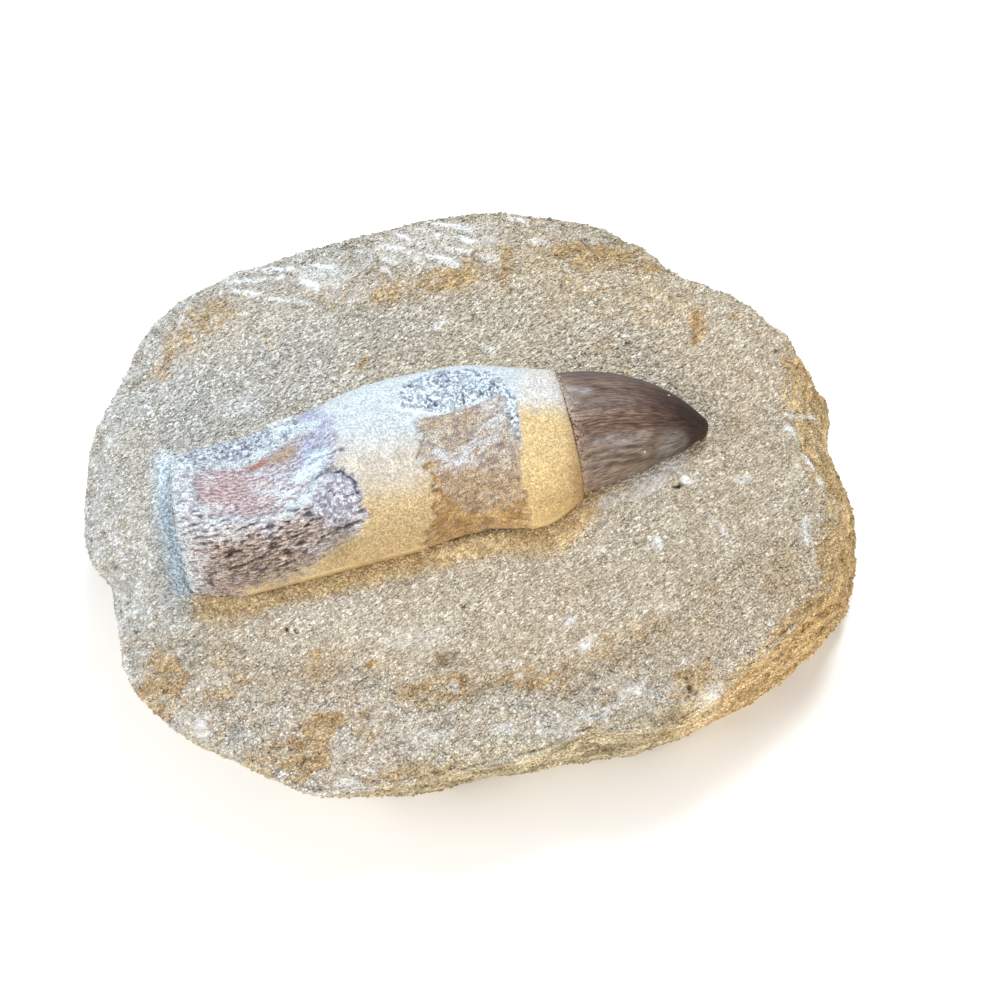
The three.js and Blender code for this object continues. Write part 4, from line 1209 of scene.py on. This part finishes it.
set_marks(root_mesh, root_marks)
print(len(root_marks), "marks on the root")

# %% [markdown]
# ## The root: colour
# Each place has its own colours: lavender grey, white and brown in the porous bone, old rose in
# the window, cream in the dentine and sand in the patch. Noise that is stretched lengthwise
# mixes them, as the fibres do.

# %% The finish of bone
look = Finish("fossil_bone")
streaks = look.noise(0.9, 5, 0.6, look.unrolled(0.22))
fine_streaks = look.noise(0.35, 3, 0.6, look.unrolled(0.22))
blotches = look.noise(2.6, 4)
speckle = look.noise(0.4, 3)
fine_speckle = look.noise(0.22, 3, 0.6)

# Painted light and shade: cool white on the lit top, and a yellow flank that is partly the
# dentine's own stain and partly painted warm shade.
yellow = look.between(fine_speckle, 0.35, 0.65, (0.37, 0.25, 0.105), (0.66, 0.53, 0.31))
collar_yellow = look.between(fine_speckle, 0.35, 0.65, (0.52, 0.345, 0.13), (0.72, 0.565, 0.31))
yellow = look.lay(yellow, "warm_top", 1, collar_yellow)
peach = look.between(blotches, 0.3, 0.7, (0.50, 0.43, 0.345), (0.62, 0.57, 0.50))
cool_lit_cream = look.lay((0.53, 0.585, 0.62), "warm_top", 1, (0.61, 0.59, 0.56))
dentine = look.lay(yellow, "sunlit", 1, look.lay(peach, "top", 1, cool_lit_cream))
dentine = look.lay(dentine, "unlit", 0.8, (0.56, 0.52, 0.44))
specks = look.remap(look.noise(0.3, 2, 0.5), 0.60, 0.70)
dentine = look.blend(look.times(specks, 0.5), dentine, (0.34, 0.22, 0.12))
dentine = look.dim(dentine, look.remap(speckle, 0.35, 0.65, 0.74, 1.20))
dentine = look.dim(dentine, look.remap(look.noise(1.6, 4, 0.6), 0.35, 0.65, 0.93, 1.08))
pale_crumbs = look.remap(look.noise(0.5, 5, 0.7), 0.56, 0.66)
dentine = look.blend(look.times(pale_crumbs, 0.45), dentine, (0.84, 0.75, 0.58))
# Painted light: the dentine is lighter low down, against the shade there.
dentine = look.dim(dentine, look.remap(look.place_along("Z"), 0.027, 0.035, 1.16, 1))
dentine = look.lay(dentine, "foot", 0.8, (0.80, 0.66, 0.42))
dentine = look.lay(dentine, "low_flank_shade", 0.8, (0.52, 0.36, 0.16))

lavender = look.between(blotches, 0.35, 0.65, (0.30, 0.26, 0.30), (0.46, 0.43, 0.47))
flecks = look.remap(look.noise(0.55, 4, 0.6, look.unrolled(0.4)), 0.44, 0.56)
tints = look.noise(3.4, 4, 0.6)
pale_fleck = look.between(tints, 0.38, 0.62, (0.66, 0.60, 0.56), (0.80, 0.82, 0.86))
crust_colour = look.blend(flecks, lavender, pale_fleck)
brown = look.between(fine_streaks, 0.4, 0.6, (0.14, 0.085, 0.06), (0.64, 0.52, 0.44))
crust_colour = look.lay(crust_colour, "brownish", look.remap(streaks, 0.40, 0.64, 1, 0.7), brown)
crumbs = look.noise(0.6, 5, 0.7)
strip_colour = look.between(crumbs, 0.42, 0.56, (0.13, 0.14, 0.21), (0.76, 0.84, 0.88))
crust_colour = look.lay(crust_colour, "strip", 0.85, strip_colour)
mottled = look.remap(look.noise(0.8, 4), 0.4, 0.6)
crust_colour = look.lay(crust_colour, "chalky", look.times(mottled, 0.95), (0.78, 0.80, 0.82))

long_crumbs = look.noise(0.55, 4, 0.6, look.unrolled(0.55))
mauve = look.between(long_crumbs, 0.4, 0.62, (0.28, 0.22, 0.24), (0.60, 0.57, 0.61))
rose = look.between(long_crumbs, 0.38, 0.62, (0.30, 0.185, 0.175), (0.63, 0.50, 0.49))
window_colour = look.lay(mauve, "rose", 0.95, rose)
tan = look.blend(speckle, (0.30, 0.20, 0.12), (0.50, 0.38, 0.27))
window_colour = look.lay(window_colour, "tan", 0.9, tan)
colour = look.lay(crust_colour, "window", 1, window_colour)
lilac = look.between(long_crumbs, 0.38, 0.62, (0.30, 0.31, 0.45), (0.52, 0.58, 0.71))
colour = look.lay(colour, "violet", 0.85, lilac)
colour = look.lay(colour, "lobe", 0.85, look.blend(mottled, (0.27, 0.26, 0.33), (0.67, 0.70, 0.79)))
colour = look.lay(colour, "window_edge_shadow", 0.55, (0.20, 0.12, 0.10))
colour = look.lay(colour, "rust", 0.9, (0.36, 0.13, 0.05))
colour = look.lay(colour, "lip", 0.9, (0.70, 0.82, 0.85))
colour = look.lay(dentine, "crust", 1, colour)

web = look.between(crumbs, 0.42, 0.56, (0.25, 0.30, 0.36), (0.74, 0.82, 0.86))
colour = look.lay(colour, "grey", 1, web)
colour = look.lay(colour, "grey_edge", 0.8, (0.76, 0.86, 0.90))
leaning_streaks = look.noise(0.8, 5, 0.6, look.slanted(fibre_lean, 3))
sandy = look.between(blotches, 0.35, 0.65, (0.32, 0.24, 0.165), (0.46, 0.385, 0.30))
flaked = look.times(look.remap(leaning_streaks, 0.42, 0.58), 0.8)
sandy = look.lay(sandy, "flaking", flaked, (0.56, 0.55, 0.55))
sandy = look.dim(sandy, look.remap(fine_speckle, 0.35, 0.65, 0.62, 1.5))
smeared = look.times(look.remap(leaning_streaks, 0.40, 0.56), 0.9)
sandy = look.lay(sandy, "smear", smeared, (0.60, 0.61, 0.65))
colour = look.lay(colour, "patch", 1, sandy)
ochre = look.between(blotches, 0.35, 0.65, (0.42, 0.245, 0.08), (0.58, 0.395, 0.17))
ochre = look.dim(ochre, look.remap(leaning_streaks, 0.4, 0.6, 0.8, 1.25))
flaked = look.times(look.remap(leaning_streaks, 0.50, 0.64), 0.65)
ochre = look.lay(ochre, "flaking", flaked, (0.60, 0.54, 0.46))
ochre = look.lay(ochre, "low_flank_shade", 0.7, (0.50, 0.33, 0.14))
# Ochre rock with painted shade in the recess.
colour = look.lay(colour, "recess", 0.88, ochre)
seam_grit = look.remap(fine_speckle, 0.40, 0.58, 0.1, 1)
colour = look.lay(colour, "seam", seam_grit, (0.28, 0.17, 0.11))
powder_flakes = look.noise(0.95, 5, 0.65, look.unrolled(0.36))
powdered = look.times(look.remap(powder_flakes, 0.47, 0.55), 0.95)
colour = look.lay(colour, "powder", powdered, (0.72, 0.73, 0.76))

# Painted shade in pores and cracks.
pore_shade_colour = look.lay((0.12, 0.12, 0.17), "brownish", 1, (0.07, 0.04, 0.035))
fine_pores = look.remap(look.noise(0.42, 2, 0.5, look.unrolled(0.35)), 0.55, 0.66)
smooth_places = look.remap(look.most("violet", "lobe"), 0, 1, 1, 0.25)
fine_pores = look.times(look.times(fine_pores, 0.62), smooth_places)
colour = look.lay(colour, "crust", fine_pores, pore_shade_colour)
winding = look.plus(look.noise(0.6, 4, 0.55, look.unrolled(0.45)), -0.5)
thin_cracks = look.remap(look.calculate("ABSOLUTE", winding), 0, 0.028, 1, 0)
less_in_window = look.remap(look.mark("window"), 0, 1, 1, 0.5)
thin_cracks = look.times(look.times(thin_cracks, 0.42), less_in_window)
colour = look.lay(colour, "crust", thin_cracks, pore_shade_colour)
colour = look.lay(colour, "pore_shade", 0.9, pore_shade_colour)
brown_crumbs = look.remap(look.noise(0.5, 4, 0.65), 0.42, 0.58, 0.25, 1)
colour = look.lay(colour, "seam_brown", look.times(brown_crumbs, 0.85), (0.37, 0.225, 0.095))
icy_flakes = look.times(look.remap(powder_flakes, 0.40, 0.52), 0.85)
colour = look.lay(colour, "icy_web", icy_flakes, (0.68, 0.84, 0.88))
colour = look.dim(colour, look.remap(look.mark("lower_shade"), 0, 1, 1, 0.76))

# A powder finer than the grains darkens and lightens coarse places more than smooth dentine.
powdery = look.noise(0.19, 2, 0.5)
coarse = look.most("crust", "patch", "grey")
on_coarse = look.times(coarse, look.remap(powdery, 0.36, 0.64, 0.56, 1.40))
on_smooth = look.times(look.remap(coarse, 0, 1, 1, 0), look.remap(powdery, 0.36, 0.64, 0.88, 1.12))
colour = look.dim(colour, look.plus(on_coarse, on_smooth))
relief = look.bump(fine_streaks, 0.14)
relief = look.bump(fine_speckle, 0.2, relief)
relief = look.bump(pale_crumbs, 0.06, relief)
roughness = look.remap(look.mark("crust"), 0, 1, 0.66, 0.8)
bone_material = look.finished(Base_Color=colour, Roughness=roughness, Normal=relief)
show("bony_root", root_mesh, bone_material, "tooth_root")

# %% [markdown]
# ## The crown
# The crown is a slightly bent cone of dark enamel. Fine ridges run up it and meet at the blunt
# tip. It is read off the CAD solid in rows like the root. The last rows close over the tip.

# %% Shape the crown
crown_rows, crown_shown, crown_hidden, tip_rows = 150, 200, 26, 22
crown_middles, crown_ways, crown_along = rows_between(crown_stations, crown_rows)
crown_angles = turned_row(crown_shown, crown_hidden, 30)
crown_directions = ways_out(crown_ways, crown_angles)
crown_radii = smoothed(read_radii(crown_node, crown_middles, crown_directions), 24, 10)
crown_points = crown_middles[:, None] + crown_radii[:, :, None] * crown_directions
crown_points[:, :, 0] -= 0.2 * (1 - rise(crown_along, 0, 2))[:, None]

tip = np.array([41.75, 9.1, 28.4])
last_ring = crown_points[-1]
last_middle = last_ring.mean(0)
tip_points = []
for row in range(1, tip_rows + 1):
    turn = math.pi / 2 * row / (tip_rows + 1)
    ring_middle = last_middle + math.sin(turn) * (tip - last_middle)
    tip_points.append(ring_middle + math.cos(turn) * (last_ring - last_middle))
crown_grid = np.concatenate([crown_points, tip_points])
crown_columns = len(crown_angles)
c = crown_grid.reshape(-1, 3)
crown_run = np.r_[crown_along, crown_along[-1] + np.linspace(0.05, 1.1, tip_rows)]
run_at = np.repeat(crown_run, crown_columns)
turn_at = np.tile((crown_angles - math.pi / 2) * 11.5, len(crown_grid))
enamel = np.stack([run_at, turn_at, np.zeros(len(c))], 1)  # places on the unrolled surface
to_tip = crown_run[-1] - run_at
ridges = np.sin(turn_at / 0.62 * 2 * math.pi * 0.5 + 1.6 * soft_noise(enamel, (9, 3, 1), 101))
ridge_height = 0.022 * rise(to_tip, 1.5, 9) * (0.5 + 0.5 * soft_noise(enamel, (7, 1.6, 1), 103))
fine_lines = 0.022 * layered_noise(enamel, (9, 0.4, 1), 105, 2) * rise(to_tip, 0.5, 4)
swell = 0.05 * soft_noise(c, 4.5, 107)
growth_lines = [
    [(18.8, -0.4), (23.0, 0.7), (27.1, 1.7), (32.0, 3.0), (37.9, 4.3)],
    [(19.6, 1.6), (23.5, 3.0), (27.5, 3.7), (31.5, 4.4)], [(20.5, 0.9), (24.5, 2.1), (29.0, 2.8)],
]
wavy = c + 0.25 * layered_noise(enamel, (3.0, 3.0, 1), 125)[:, None] * np.array([0, 1, 0])
growth = np.max([np.exp(-((line_distance(wavy, line) / 0.32) ** 2)) for line in growth_lines], 0)
growth *= rise(c[:, 2], 27, 29) * (0.75 + 0.5 * soft_noise(enamel, (2.5, 2.5, 1), 127))
base_chips = np.exp(-run_at / 0.4) * rise(soft_noise(c, 0.9, 109), 0.0, 0.5)
enamel_relief = ridge_height * ridges + fine_lines + swell - 0.25 * base_chips - 0.11 * growth
crown_way = np.concatenate([crown_directions, np.repeat(crown_directions[-1:], tip_rows, 0)])
fade = np.r_[np.ones(crown_rows), np.linspace(1, 0, tip_rows)]
c = c + (enamel_relief * np.repeat(fade, crown_columns))[:, None] * crown_way.reshape(-1, 3)
tip_end = c[-crown_columns:].mean(0) + np.array([0.03, 0, 0])
crown_mesh = closed_mesh("enamel_crown", c, crown_columns, c[:crown_columns].mean(0), tip_end)

haze = strongest(c, [  # grey rock dust
    (17.6, 13.4, 2.6, 0.9, -5, 0.9), (16.4, 10.6, 1.4, 1.6, 0, 0.5), (24.6, 4, 4.6, 1.3, 8, 0.85),
    (28.6, 5.4, 2.2, 0.8, 15, 0.6), (35.3, 5.8, 2.4, 1.3, 12, 0.7), (34, 4.5, 2.6, 0.8, 32, 0.7),
    (22, 0.6, 4, 1, 20, 0.35),
])
crown_marks = {
    "along": run_at * MM,
    "around": turn_at * MM,
    "haze": np.clip(haze * (0.75 + 0.9 * layered_noise(enamel, (2.4, 1.0, 1), 111)), 0, 1),
    "chip": strongest(c, [(34.4, 13.8, 0.18, 0.16, 0, 0.7), (29.9, 3.3, 0.17, 0.15, 0, 0.75)]),
    "growth": np.clip(growth, 0, 1),
    "shaded_upper_side": rise(c[:, 1] - 0.1 * c[:, 0], 3.0, 8.5) * rise(run_at, 9, 18),
    "tip": 1 - rise(to_tip + 0.25 * (c[:, 1] - 9), 2.0, 13.0),
    "base": np.exp(-run_at / (0.9 + 0.5 * soft_noise(c, 1.6, 129))),
    # Painted light: the lower side of the crown is lighter.
    "low": rise(-c[:, 1] + 0.28 * c[:, 0], 0.5, 5.5),
    "far": rise(turn_at, 7.5, 12.5) * rise(to_tip, 0.2, 2.0),
}
marks = {name: np.r_[values, values[0], values[-1]] for name, values in crown_marks.items()}
set_marks(crown_mesh, marks)
print("crown mesh has", len(crown_mesh.vertices), "points")

# %% [markdown]
# Enamel keeps a soft polish. Its brown varies in long thin streaks that meet at the tip, where it
# is darkest. The upper side is painted darker and warmer as shade, and the lower one lighter as
# painted light. A thin grey haze of rock dust lies on it in places.

# %% The finish of enamel
look = Finish("dark_enamel")
broad = look.noise(2.2, 4, 0.6, look.unrolled(0.11))
thin = look.noise(0.36, 5, 0.7, look.unrolled(0.11))
scratched = look.noise(0.30, 4, 0.65, look.unrolled(0.15))
smudges = look.noise(1.3, 5, 0.62, look.unrolled(0.5))
colour = look.steps(
    look.plus(look.times(broad, 0.4), look.times(thin, 0.6)),
    (0.34, (0.033, 0.017, 0.012)),
    (0.45, (0.090, 0.052, 0.037)),
    (0.56, (0.165, 0.110, 0.082)),
    (0.68, (0.290, 0.215, 0.170)),
)
# Painted light: a lighter brown on the crown's lower side.
lit_low_brown = look.between(thin, 0.38, 0.62, (0.15, 0.112, 0.085), (0.34, 0.275, 0.225))
colour = look.lay(colour, "low", 0.85, lit_low_brown)
colour = look.lay(colour, "tip", 0.92, (0.022, 0.012, 0.009))
colour = look.dim(colour, look.remap(scratched, 0.36, 0.64, 0.58, 1.36))
colour = look.dim(colour, look.remap(smudges, 0.36, 0.64, 0.78, 1.24))
# Painted shade: the crown's upper side is darker and warmer.
colour = look.tint(colour, look.lay((1, 1, 1), "shaded_upper_side", 1, (0.48, 0.37, 0.33)))
colour = look.lay(colour, "far", 0.75, (0.075, 0.062, 0.072))
mottling = look.remap(look.noise(0.9, 6, 0.75, look.unrolled(0.45)), 0.38, 0.60, 0.2, 0.95)
colour = look.lay(colour, "haze", mottling, (0.33, 0.315, 0.325))
colour = look.lay(colour, "growth", 0.85, (0.050, 0.030, 0.020))
base_crumbs = look.remap(look.noise(0.45, 4, 0.65), 0.44, 0.56)
colour = look.lay(colour, "base", base_crumbs, (0.56, 0.43, 0.34))
colour = look.lay(colour, "chip", 1, (0.80, 0.76, 0.66))
roughness = look.remap(look.mark("haze"), 0, 1, 0.46, 0.65)
relief = look.bump(look.noise(0.3, 3), 0.02, look.bump(thin, 0.05))
enamel_material = look.finished(
    Base_Color=colour, Roughness=roughness, Normal=relief, Specular_IOR_Level=0.22
)
show("enamel_crown", crown_mesh, enamel_material, "tooth_crown")
